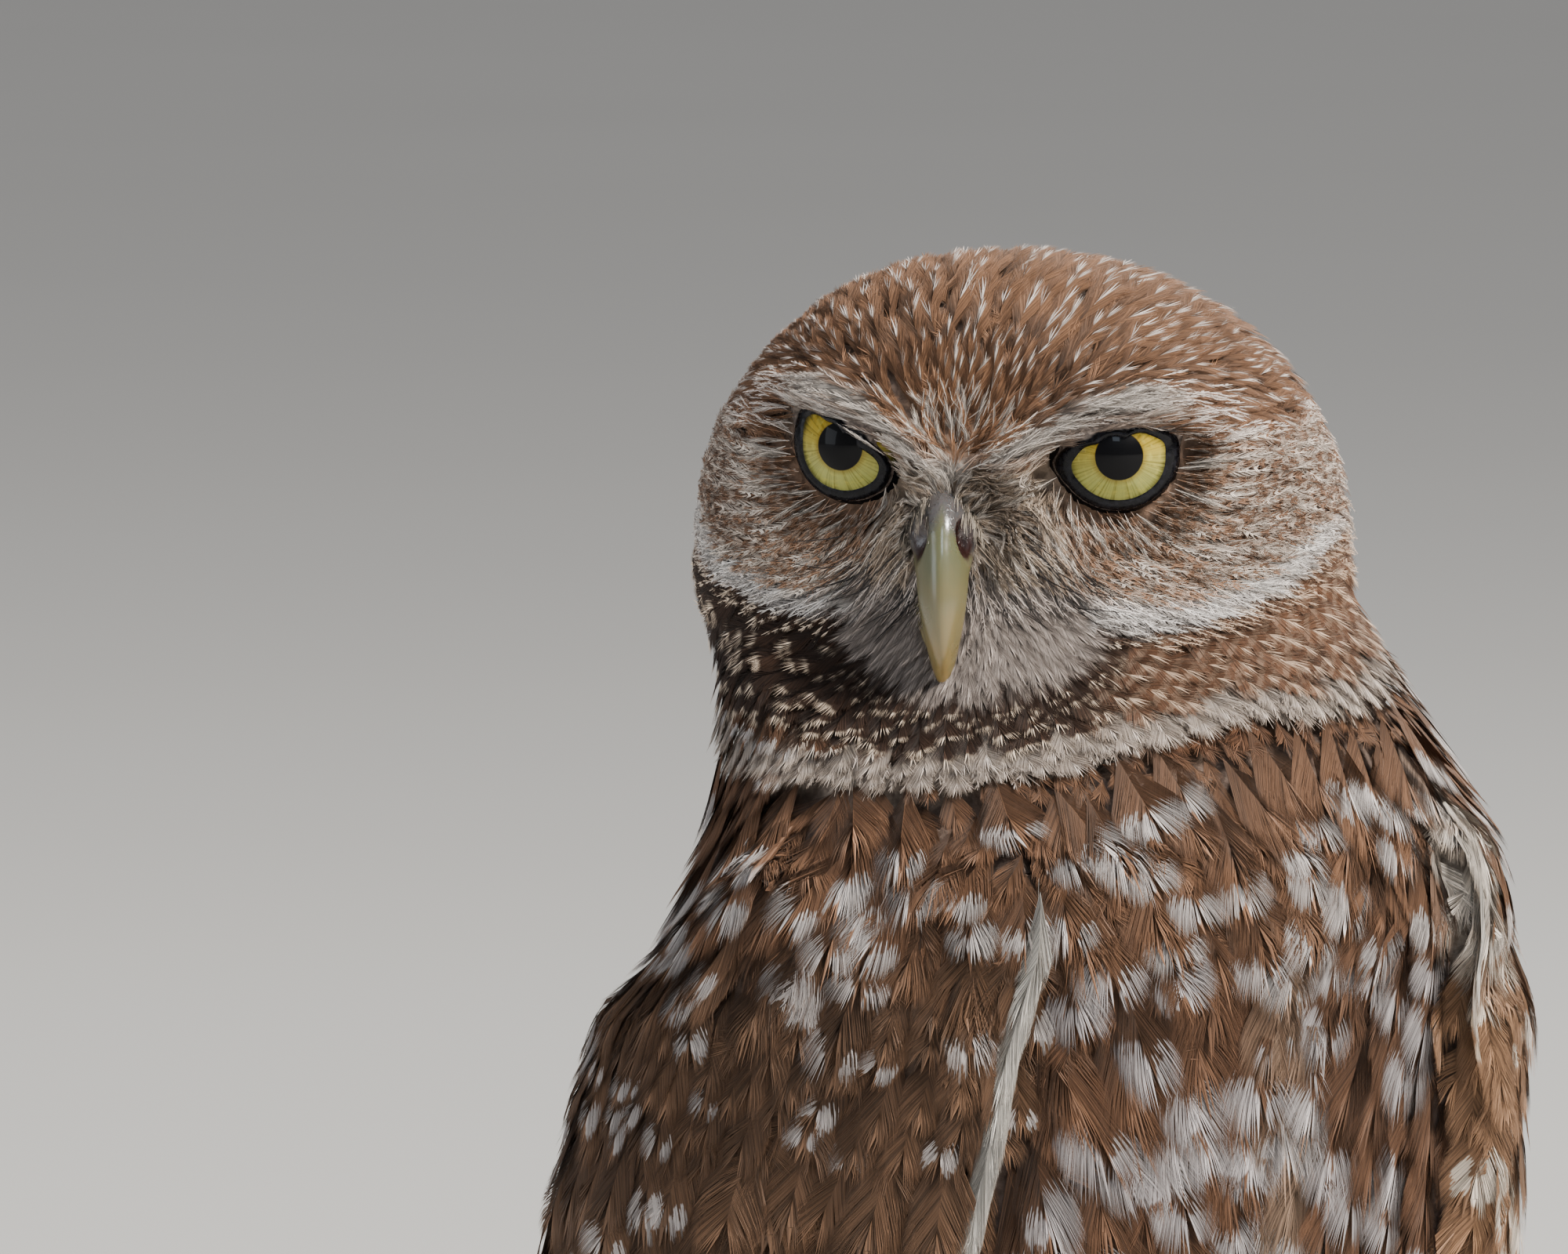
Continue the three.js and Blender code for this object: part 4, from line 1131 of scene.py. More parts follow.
class Flesh:
    """The owl's outline as one surface, and the skin that lies under the coat inside it."""

    names = (
        "head", "neck", "trunk", "wing_left", "wing_right", "thigh_left", "thigh_right", "eye_left", "eye_right",
    )
    voxel = 1.0
    smoothings = 6
    under_coat = 0.55  # the skin lies this much below the feathers' roots
    light_share = 0.3  # how much of the light marks shows on the skin

    def __init__(self, frame: dict) -> None:
        """Fuses the solids and shapes them; the coat also fills the groove below the head."""
        self.frame = frame
        nodes = [frame["nodes"][name] for name in self.names]
        muzzle = self.muzzle()
        points, faces = fused([*nodes, muzzle], self.voxel, self.smoothings)
        self.body = Surface(self.sculpted(points), faces)
        hoop = self.hoop()
        points, faces = fused([*nodes, muzzle, hoop], self.voxel, self.smoothings)
        self.outer = Surface(self.sculpted(points), faces)
        bpy.data.objects.remove(muzzle)
        bpy.data.objects.remove(hoop)
        self.solids = {
            part: Surface(*fused([frame["nodes"][n] for n in names], 2 * self.voxel, 0))
            for part, names in (
                (Part.WING, ("wing_left", "wing_right")),
                (Part.THIGH, ("thigh_left", "thigh_right")),
                (Part.TRUNK, ("trunk", "neck")),
                (Part.HEAD, ("head",)),
            )
        }

    def hoop(self) -> bpy.types.Object:
        """Makes the down that fills the groove between the head and the shoulders."""
        levels = np.arange(154.0, 191.0, 2.0)
        angles = circle(72)
        axis = np.array([-1.0, -5.0, 0.0])
        reach = np.empty((len(levels), len(angles)))
        for j, angle in enumerate(angles.tolist()):
            way = Vector((math.cos(angle), math.sin(angle), 0))
            for i, z in enumerate(levels.tolist()):
                hit = self.body.tree.ray_cast(Vector((axis[0], axis[1], z)) + way * 120, -way)[0]
                reach[i, j] = 20.0 if hit is None else math.hypot(hit[0] - axis[0], hit[1] - axis[1])
        filled = reach.copy()
        for low in range(len(levels)):
            for high in range(low + 2, len(levels)):
                share = ((levels - levels[low]) / (levels[high] - levels[low]))[low : high + 1, None]
                chord = reach[low] * (1 - share) + reach[high] * share
                filled[low : high + 1] = np.maximum(filled[low : high + 1], chord)
        for _ in range(4):
            filled = (np.roll(filled, 1, axis=1) + 2 * filled + np.roll(filled, -1, axis=1)) / 4
        open_side = np.cos(angles - math.radians(147.0))
        # Most of the groove is filled, but little of it where the head looks over the shoulder.
        radii = reach + (filled - reach) * (0.92 - 0.62 * ramp(0.25, 0.95, open_side)) - 0.25
        radii[0] *= 0.8
        radii[-1] *= 0.8
        sections = np.stack([np.cos(angles) * radii, np.sin(angles) * radii], axis=-1)
        centres = axis + np.column_stack([0 * levels, 0 * levels, levels])
        axes = np.tile(np.eye(3)[None], (len(levels), 1, 1))
        return make_object("down", mesh_of("down", *swept(centres, axes[:, 0], axes[:, 1], sections)))

    @staticmethod
    def muzzle() -> bpy.types.Object:
        """Makes the flesh that closes round the root of the bill."""
        share = np.linspace(-0.98, 0.995, 16)
        swell = np.sqrt(1 - share**2)
        centres = np.column_stack([np.full(16, -1.9), -13.0 - 12.2 * share, 3.9 + 0.0 * share])
        sections = rounds(swell, swell, circle(40)) * (6.6, 7.6)
        axes = np.tile(np.eye(3)[None], (16, 1, 1))
        points, faces = swept(centres, axes[:, 0], axes[:, 2], sections)
        return make_object("muzzle", mesh_of("muzzle", HEAD.outside(points), faces))

    @staticmethod
    def wing_front(z: Array) -> Array:
        """Distance of a folded wing's front edge from the middle plane at a height."""
        return np.interp(z, (84, 95, 105, 118, 130, 141, 152, 164, 171), (39, 36, 33, 30.5, 28.5, 27, 25, 23.6, 22.5))

    def sculpted(self, points: Array) -> Array:
        """Shapes the outer surface: wings' front edges, rims round the eyes, brows."""
        x, y, z = points.T
        past = np.abs(x) - self.wing_front(z)
        front = ramp(2, -12, y) * ramp(88, 100, z) * ramp(172, 165, z)
        lift = front * (1.5 * ramp(-0.9, 0.4, past) * ramp(16, 2, past) - 0.7 * ramp(-5, -1.0, past) * (past < 0))
        away = unit(points * (1, 1, 0) - (0, 2, 0)) * (1, 1, 0)
        points = points + away * lift[:, None]
        head = HEAD.inside(points)
        for eye in EYES:
            local = eye.local(head)
            far = np.hypot(local[:, 0], local[:, 1])
            angle = np.arctan2(local[:, 1], local[:, 0])
            edge = eye.edge(angle)
            reach = np.arcsin(np.clip(edge / (eye.radius + eye.bulge), 0, 0.97))
            level = np.cos(reach) * (eye.radius + 0.3)
            front = local[:, 2] > -3
            slope = np.where(local[:, 1] > 0, 0.22, 0.42)
            wanted = level - (far - edge) * slope - 0.02 * (far - edge) ** 2
            outside = front & (far > edge - 0.6) & (far < edge + 9)
            blend = ramp(edge.mean() + 8.5, edge.mean() + 1.0, far) * ramp(-3, 1, local[:, 2])
            wanted = local[:, 2] + (wanted - local[:, 2]) * blend
            near = ramp(3.2, 0.9, far - edge)
            raised = np.maximum(local[:, 2], wanted) * (1 - near) + wanted * near
            local[:, 2] = np.where(outside, raised, local[:, 2])
            inside = front & (far <= edge - 0.6)
            sunk = np.sqrt(np.maximum((eye.radius - 0.9) ** 2 - far**2, 0.5))
            local[:, 2] = np.where(inside, np.minimum(local[:, 2], sunk), local[:, 2])
            head = local @ eye.axes + eye.middle
        side, forward = np.abs(head[:, 0]), -head[:, 1]
        brow = Markings.stripe(head, Markings.brow_line[1:7], 2.4) * (forward > 4)
        head[:, 1] -= 1.3 * brow
        head[:, 2] -= 0.5 * brow * ramp(5, 9, side)
        return HEAD.outside(head)

    def part_of(self, places: Array) -> Array:
        """Says which part each place belongs to, as Part numbers."""
        order = (Part.HEAD, Part.TRUNK, Part.WING, Part.THIGH)
        gaps = np.stack([self.solids[p].distance(places) for p in order])
        gaps[0] += np.where(HEAD.inside(places)[:, 2] < -17, 30, 0)
        chosen = np.array(order)[gaps.argmin(axis=0)]
        x, y, z = places.T
        flank = (y < 0) & (z > 92) & (z < 171) & (chosen != Part.HEAD)
        past = np.abs(x) > self.wing_front(z)
        chosen = np.where(flank & past, Part.WING, chosen)
        return np.where(flank & ~past, Part.TRUNK, chosen)

    @staticmethod
    def depth(places: Array, part: Array) -> Array:
        """Thickness of the coat over the skin."""
        head = HEAD.inside(places)
        face = ramp(2, 12, -head[:, 1]) * ramp(14, 10, head[:, 2]) * (part == Part.HEAD)
        deep = np.where(part == Part.HEAD, 1.7, 2.6)
        deep = np.where(part == Part.WING, 1.8, deep)
        deep = np.where(part == Part.THIGH, 1.6, deep)
        rim = np.ones(len(places))
        for eye in EYES:
            local, off = eye.beyond(head)
            rim = np.minimum(rim, np.where(local[:, 2] > -1, ramp(0.3, 2.6, off) * 0.5 + 0.5, 1.0))
        return deep * (1 - 0.45 * face) * rim

    def build(self) -> bpy.types.Object:
        """Makes the skin and stores its markings."""
        part = self.part_of(self.body.points)
        depth = self.depth(self.body.points, part)
        points = self.body.points - self.body.normals * (depth + self.under_coat)[:, None]
        mesh = mesh_of("skin", points, self.body.faces)
        rows = Markings().of(self.body.points, part)
        light = np.clip(rows[:, 6:9].max(axis=1), 0, 1)[:, None] * self.light_share
        store(mesh, "ground", "FLOAT_COLOR", rows[:, :3] * (1 - light) + rows[:, 3:6] * light)
        unwrapped = unwrap(self.body.points, part)[self.body.faces]
        wraps = (unwrapped[..., 0].max(axis=1) - unwrapped[..., 0].min(axis=1)) > 0.4
        unwrapped[..., 0] += np.where(wraps[:, None] & (unwrapped[..., 0] < 0.5), 1.0, 0.0)
        wrap_faces(mesh, unwrapped)
        solids = ("head", "neck", "trunk", "wing_left", "wing_right", "thigh_left", "thigh_right")
        return dress("skin", mesh, SkinFinish().make(), "breast_plumage", *solids)


def unwrap(places: Array, part: Array) -> Array:
    """Unwraps places to between 0 and 1: the head as a globe above the rest as a cylinder."""
    head = HEAD.inside(places)
    polar = np.arccos(np.clip(unit(head)[:, 2], -1, 1)) / math.pi
    globe = np.column_stack([0.5 + np.arctan2(head[:, 0], -head[:, 1]) / (2 * math.pi), 0.98 - polar * 0.5])
    x, y, z = places.T
    drum = np.column_stack([0.5 + np.arctan2(x, 2.0 - y) / (2 * math.pi), 0.01 + z / 400])
    return np.where((part == Part.HEAD)[:, None], globe, drum) * (0.97, 1) + (0.01, 0)


# ---- Feathers

MOST_TRIANGLES = 190000


@dataclass(frozen=True)
class Vane:
    """Shape of one kind of feather, in shares of its length and half width."""

    barbs: int
    start: float = 0.14
    widest: float = 0.62
    roundness: float = 2.2
    base_width: float = 0.35
    sweep: float = 0.2
    fringe: float = 0.36
    ragged: float = 0.1
    splits: int = 2
    cover: float = 1.0
    tilt: float = 0.05
    shaft: float = 0.05
    scatter: float = 0.02
    bend: float = 1.4
    top: float = 0.88

    def half_width(self, share: Array) -> Array:
        """Half width at a share of the length, where the widest is 1."""
        low = self.base_width + (1 - self.base_width) * np.sin(np.clip(share / self.widest, 0, 1) * math.pi / 2)
        high = np.clip((share - self.widest) / (1 - self.widest), 0, 1)
        return np.where(share < self.widest, low, (1 - high**self.roundness) ** (1 / self.roundness))

    def barb(self, place: Array, share: float) -> tuple[Array, Array]:
        """Distance from the shaft and place along the feather, at a share of the barb that grows at a place."""
        root = self.start + (self.top - self.start) * place
        end = self.start + self.sweep + (1 - self.start - self.sweep) * place
        return self.half_width(end) * share, root + (end - root) * share**self.bend

    def draw(self, rng: np.random.Generator) -> tuple[Array, Array, Array]:
        """Draws one feather.

        Args:
            rng: seeded source of chance.

        Returns:
            Points (across, along, height), each point's tone and place in its barb, and triangles.
        """
        points, tones, faces = [], [], []
        step = 0.5 / self.barbs * self.cover
        for side in (-1.0, 1.0):
            breaks = np.sort(rng.uniform(0.2, 0.95, self.splits))
            leans = rng.normal(0, 0.6 / self.barbs, self.splits + 1)
            for k in range(self.barbs):
                q = (k + 0.5) / self.barbs
                lean = leans[np.searchsorted(breaks, q)] + rng.normal(0, self.scatter)
                fringe = self.fringe * (0.3 + 0.7 * q) * rng.uniform(0.7, 1.3)
                drop, tone, base = rng.normal(0, 0.3) * self.tilt, rng.random(), len(points)
                for offset, share, shift, phase in (
                    (-step, 0.0, 0.0, -1.0), (step, 0.0, 0.0, 1.0), (-step, 1 - fringe, 0.6, -1.0),
                    (0.0, 1 - fringe, 0.6, 0.0), (step, 1 - fringe, 0.6, 1.0),
                    (-step * 0.6, 1.0, 1.0, -0.5), (step * 0.5, 1.0, 1.0, 0.5),
                ):
                    place = np.clip(q + offset + lean * shift, 0.0, 1.0)
                    far = share * (1 - self.ragged * rng.random() * (share == 1.0))
                    across, along = self.barb(np.array(place), far)
                    height = self.tilt * phase + drop * share * 2
                    points.append((side * max(float(across), 0.012 * share), float(along), height))
                    tones.append((tone, phase, far))
                trio = [(0, 2, 4), (0, 4, 1), (2, 5, 3), (3, 6, 4)]
                faces += [tuple(base + i for i in (t if side > 0 else t[::-1])) for t in trio]
        base = len(points)
        for share in (0.0, 0.5, 0.93):
            thin = self.shaft * (1 - 0.75 * share)
            points += [(-thin, share, self.tilt * 1.6), (thin, share, self.tilt * 1.6)]
            tones += [(0.8, 0.5, 0.0)] * 2
        for i in (base, base + 2):
            faces += [(i, i + 1, i + 3), (i, i + 3, i + 2)]
        return np.array(points), np.array(tones), np.array(faces)


CONTOUR = Vane(58, start=0.08, top=0.55, sweep=0.56, fringe=0.5, ragged=0.17, splits=5, scatter=0.007,
               base_width=0.6, shaft=0.004, bend=1.3, widest=0.74, roundness=2.3, tilt=0.02, cover=1.1)
SOFT = Vane(30, sweep=0.55, top=0.55, fringe=0.7, ragged=0.3, cover=0.85, splits=6, base_width=0.5,
            shaft=0.01, bend=1.25)
SMALL = Vane(18, start=0.02, top=0.55, sweep=0.56, fringe=0.6, ragged=0.3, shaft=0.006, tilt=0.02, cover=0.95,
             scatter=0.012, bend=1.15, base_width=0.7)
SLEEK = Vane(16, start=0.02, top=0.5, sweep=0.5, fringe=0.6, ragged=0.3, shaft=0.006, tilt=0.01, cover=0.9,
             bend=1.1, base_width=0.75)
WISP = Vane(14, start=0.08, top=0.6, sweep=0.5, fringe=0.85, ragged=0.5, cover=0.5, shaft=0.01, tilt=0.02,
            scatter=0.05, widest=0.75, bend=1.3)
LASH = Vane(7, start=0.0, base_width=0.8, sweep=0.4, fringe=0.75, ragged=0.4, cover=0.7, tilt=0.02, scatter=0.04,
            shaft=0.06, top=0.7, bend=1.1)
PLUME = Vane(8, start=0.12, base_width=0.55, sweep=0.42, fringe=0.8, ragged=0.4, cover=0.55, shaft=0.1, tilt=0.02,
             scatter=0.05, widest=0.7, roundness=1.6)
FUZZ = Vane(6, start=0.0, base_width=0.9, sweep=0.6, top=0.5, fringe=0.8, ragged=0.4, shaft=0.03,
            tilt=0.02, scatter=0.05, bend=1.0)
WHISKER = Vane(1, start=0.3, sweep=0.4, cover=0.05, ragged=0.5, fringe=0.9, shaft=1.0, tilt=0.02, splits=0)
COVERT = Vane(44, start=0.08, top=0.66, sweep=0.46, fringe=0.45, ragged=0.12, splits=3, widest=0.76,
              scatter=0.006, shaft=0.004, base_width=0.65, bend=1.3, roundness=2.5, tilt=0.02, cover=1.15)
FLIGHT = Vane(90, start=0.05, sweep=0.1, fringe=0.12, ragged=0.03, splits=1, widest=0.55, roundness=2.6,
              base_width=0.7, shaft=0.07, tilt=0.03, scatter=0.002)


@dataclass
class Flock:
    """Feathers of one kind that are drawn together: their lines over the body and their looks."""

    name: str
    vane: Vane
    lines: Array
    normals: Array
    half_widths: Array
    roots: Array
    rows: Array
    curl: float = 0.012
    variants: int = 5
    slot: str = "breast_plumage"
    seed: int = 1

    @classmethod
    def along(
        cls, name: str, vane: Vane, lines: list[Array], normals: list[Array], half_widths: Array | list[float],
        rows: Array, part: Part, slot: str, seed: int, curl: float = 0.05, variants: int = 4,
    ) -> "Flock":
        """Gathers feathers that are laid one by one; the rest is as in the class."""
        line = np.array(lines)
        roots = unwrap(line[:, 0], np.full(len(line), part))
        return cls(name, vane, line, np.array(normals), np.array(half_widths), roots, rows, curl, variants, slot, seed)

    def meshes(self) -> list[bpy.types.Mesh]:
        """Makes the meshes, each with no more triangles than a piece may have."""
        rng = np.random.default_rng(self.seed)
        drawings = [self.vane.draw(rng) for _ in range(self.variants)]
        count = len(self.lines)
        per_mesh = MOST_TRIANGLES // len(drawings[0][2])
        return [
            self.mesh(np.arange(start, min(count, start + per_mesh)), drawings, rng)
            for start in range(0, count, per_mesh)
        ]

    def mesh(self, chosen: Array, drawings: list, rng: np.random.Generator) -> bpy.types.Mesh:
        """Makes one mesh of the chosen feathers."""
        stations = self.lines.shape[1]
        blocks: dict[str, list] = {key: [] for key in ("points", "vane", "strand", "rows", "uv", "faces")}
        start = 0
        seeds = rng.random(len(self.lines))
        for number, (drawing, tones, faces) in enumerate(drawings):
            some = chosen[chosen % len(drawings) == number]
            if not len(some):
                continue
            line, normal = self.lines[some], self.normals[some]
            place = np.clip(drawing[:, 1], 0, 0.9999) * (stations - 1)
            i = place.astype(int)
            f = (place - i)[None, :, None]
            centre = line[:, i] * (1 - f) + line[:, i + 1] * f
            above = unit(normal[:, i] * (1 - f) + normal[:, i + 1] * f)
            run = unit(line[:, i + 1] - line[:, i])
            across = unit(np.cross(run, above))
            wide = drawing[:, 0][None, :] * self.half_widths[some][:, None]
            height = drawing[:, 2][None, :] - self.curl * wide**2
            points = centre + across * wide[..., None] + above * height[..., None]
            size = len(drawing)
            blocks["points"].append(points.reshape(-1, 3))
            local = np.empty((len(some), size, 3))
            local[..., :2] = drawing[:, :2]
            local[..., 2] = seeds[some][:, None]
            blocks["vane"].append(local.reshape(-1, 3))
            blocks["strand"].append(np.tile(tones, (len(some), 1)))
            blocks["rows"].append(np.repeat(self.rows[some], size, axis=0))
            patch = local[..., :2] * (0.0014, 0.0028) + self.roots[some][:, None]
            blocks["uv"].append(patch.reshape(-1, 2))
            shift = start + np.arange(len(some)) * size
            blocks["faces"].append((faces[None] + shift[:, None, None]).reshape(-1, 3))
            start += len(some) * size
        whole = {key: np.concatenate(value) for key, value in blocks.items()}
        mesh = mesh_of(self.name, whole["points"], whole["faces"])
        store(mesh, "vane", "FLOAT_VECTOR", whole["vane"])
        store(mesh, "strand", "FLOAT_VECTOR", whole["strand"])
        store(mesh, "ground", "FLOAT_COLOR", whole["rows"][:, :3])
        store(mesh, "light", "FLOAT_COLOR", whole["rows"][:, 3:6])
        store(mesh, "mark", "FLOAT_VECTOR", whole["rows"][:, 6:9])
        corners = np.empty(len(mesh.loops), dtype=np.int32)
        mesh.loops.foreach_get("vertex_index", corners)
        wrap_faces(mesh, whole["uv"][corners])
        return mesh

    def build(self, finish: bpy.types.Material, *solids: str) -> list[bpy.types.Object]:
        """Makes, dresses and logs the pieces, which replace the solids if any are named."""
        pieces = [
            dress(f"{self.name}_{number + 1}", mesh, finish, self.slot, *solids)
            for number, mesh in enumerate(self.meshes())
        ]
        faces = sum(len(piece.data.polygons) for piece in pieces)
        log.info("%s: %d feathers, %d triangles", self.name, len(self.lines), faces)
        return pieces


@dataclass(frozen=True)
class Tract:
    """A patch of like feathers: how far apart, how long and how wide, in millimetres."""

    name: str
    vane: Vane
    spacing: float
    length: float
    half_width: float
    rise: float = 0.0
    stations: int = 7
    curl: float = 0.012
    area: str = "breast"
    vary: float = 0.16
    stray: float = 7.0
    under: bool = False


class Lie:
    """Which way the coat lies at each place."""

    bill = np.array([-2.0, -25.0, 4.5])

    def at(self, places: Array, normals: Array, part: Array) -> Array:
        """Finds the direction of the coat.

        Args:
            places: on the outer surface.
            normals: of the surface there.
            part: each place's Part, as a number.

        Returns:
            Directions along the surface, of length one.
        """
        down = np.tile([0.0, 0.0, -1.0], (len(places), 1))
        side = np.sign(places[:, 0])
        tip = np.column_stack([side * 17.0, np.full(len(places), 45.0), np.full(len(places), 10.0)])
        wing = unit(unit(tip - places) + down * ramp(120, 165, places[:, 2])[:, None])
        inward = np.zeros_like(down)
        inward[:, 0] = -np.tanh((places[:, 0] - 1.8) / 6.0) * 0.3
        front = down + inward * ramp(0, -20, places[:, 1])[:, None]
        body = np.where((part == Part.WING)[:, None], wing, front)
        head = HEAD.inside(places)
        away = unit(head - self.bill)
        nearest_eye = np.full(len(places), 1e9)
        from_eye = np.zeros_like(head)
        for eye in EYES:
            rel = head - eye.middle
            far = np.linalg.norm(rel, axis=1)
            closer = far < nearest_eye
            from_eye[closer] = unit(rel)[closer]
            nearest_eye = np.minimum(far, nearest_eye)
        pull = ramp(15.0, 9.0, nearest_eye) * ramp(12.5, 10.5, head[:, 2])
        flow = unit(away * (1 - 0.55 * pull)[:, None] + from_eye * (0.75 * pull)[:, None])
        droop = ramp(13.0, 9.0, np.abs(head[:, 0])) * ramp(8.0, 3.0, head[:, 2]) * (head[:, 1] < -8)
        flow[:, 2] -= 0.7 * droop
        brow = Markings.stripe(head, Markings.brow_line, 2.8) * (head[:, 1] < -4)
        outward = np.column_stack(
            [np.tanh(HEAD.beside(head) / 1.6), np.full(len(head), 0.25), 0.35 * ramp(13, 4, np.abs(head[:, 0]))]
        )
        flow = unit(flow * (1 - 0.85 * brow)[:, None] + outward * brow[:, None])
        back = ramp(2, -16, -head[:, 1])[:, None]
        flow = unit(flow @ HEAD.rotation.T + down * back * 0.9)
        upper = (part == Part.HEAD) * ramp(-15.5, -8.0, head[:, 2])
        mixed = flow * upper[:, None] + body * (1 - upper)[:, None]
        return unit(mixed - normals * (mixed * normals).sum(axis=1, keepdims=True))


TRACTS = (
    Tract("head_down", FUZZ, 1.4, 4.2, 1.2, area="head", stray=28, stations=4, under=True),
    Tract("body_down", SMALL, 3.2, 10.0, 3.0, stray=22, stations=6, under=True),
    Tract("forehead", SMALL, 0.9, 4.8, 0.8, area="head", stray=9),
    Tract("crown", SMALL, 1.5, 7.2, 1.35, rise=0.35, area="head", stray=9),
    Tract("nape", SMALL, 2.2, 9.0, 1.9, area="head"),
    Tract("brow", PLUME, 0.58, 5.4, 0.5, rise=0.3, area="head", stray=10),
    Tract("lore", PLUME, 0.52, 6.4, 0.46, rise=0.6, area="head", stray=9),
    Tract("cheek", PLUME, 0.68, 7.6, 0.62, rise=0.25, area="head", stray=9),
    Tract("rim", LASH, 0.5, 5.4, 0.36, rise=0.55, area="head", stray=10),
    Tract("apex", LASH, 0.42, 4.2, 0.34, rise=0.4, area="head", stray=22),
    Tract("nares", LASH, 0.42, 3.6, 0.32, rise=0.7, area="head", stray=18, stations=6),
    Tract("malar", PLUME, 0.62, 3.8, 0.6, rise=0.2, area="head"),
    Tract("chin", SLEEK, 0.8, 4.6, 0.8, area="head", stations=5, stray=5),
    Tract("whisker", WHISKER, 1.7, 8.5, 0.09, rise=2.0, area="head", stray=16, curl=0.0),
    Tract("ruff", SMALL, 1.45, 5.8, 1.9, rise=0.5, area="neck", stray=10),
    Tract("collar", LASH, 0.8, 3.5, 0.6, rise=0.25, area="neck", stray=12),
    Tract("neck_down", SMALL, 2.3, 8.0, 2.2, stray=18, stations=5, under=True),
    Tract("bib", CONTOUR, 3.3, 13.5, 3.7, rise=0.2, area="neck", stations=8, stray=8),
    Tract("breast", CONTOUR, 3.8, 17.0, 4.0, rise=0.5, stations=9),
    Tract("seam", WISP, 2.6, 12.0, 1.5, rise=1.2, stations=8, stray=18),
    Tract("belly", SOFT, 4.6, 17.0, 5.0, rise=0.4, stations=8, stray=10),
    Tract("back", CONTOUR, 4.2, 16.0, 4.6, stations=8),
    Tract("lesser_covert", COVERT, 2.6, 11.0, 2.5, area="wing", stray=8),
    Tract("covert", COVERT, 3.7, 16.0, 3.7, stations=8, area="wing", stray=8),
    Tract("great_covert", COVERT, 5.4, 22.0, 5.4, stations=9, area="wing"),
    Tract("thigh", WISP, 1.9, 9.0, 1.7, rise=0.7, area="leg", stray=16),
)


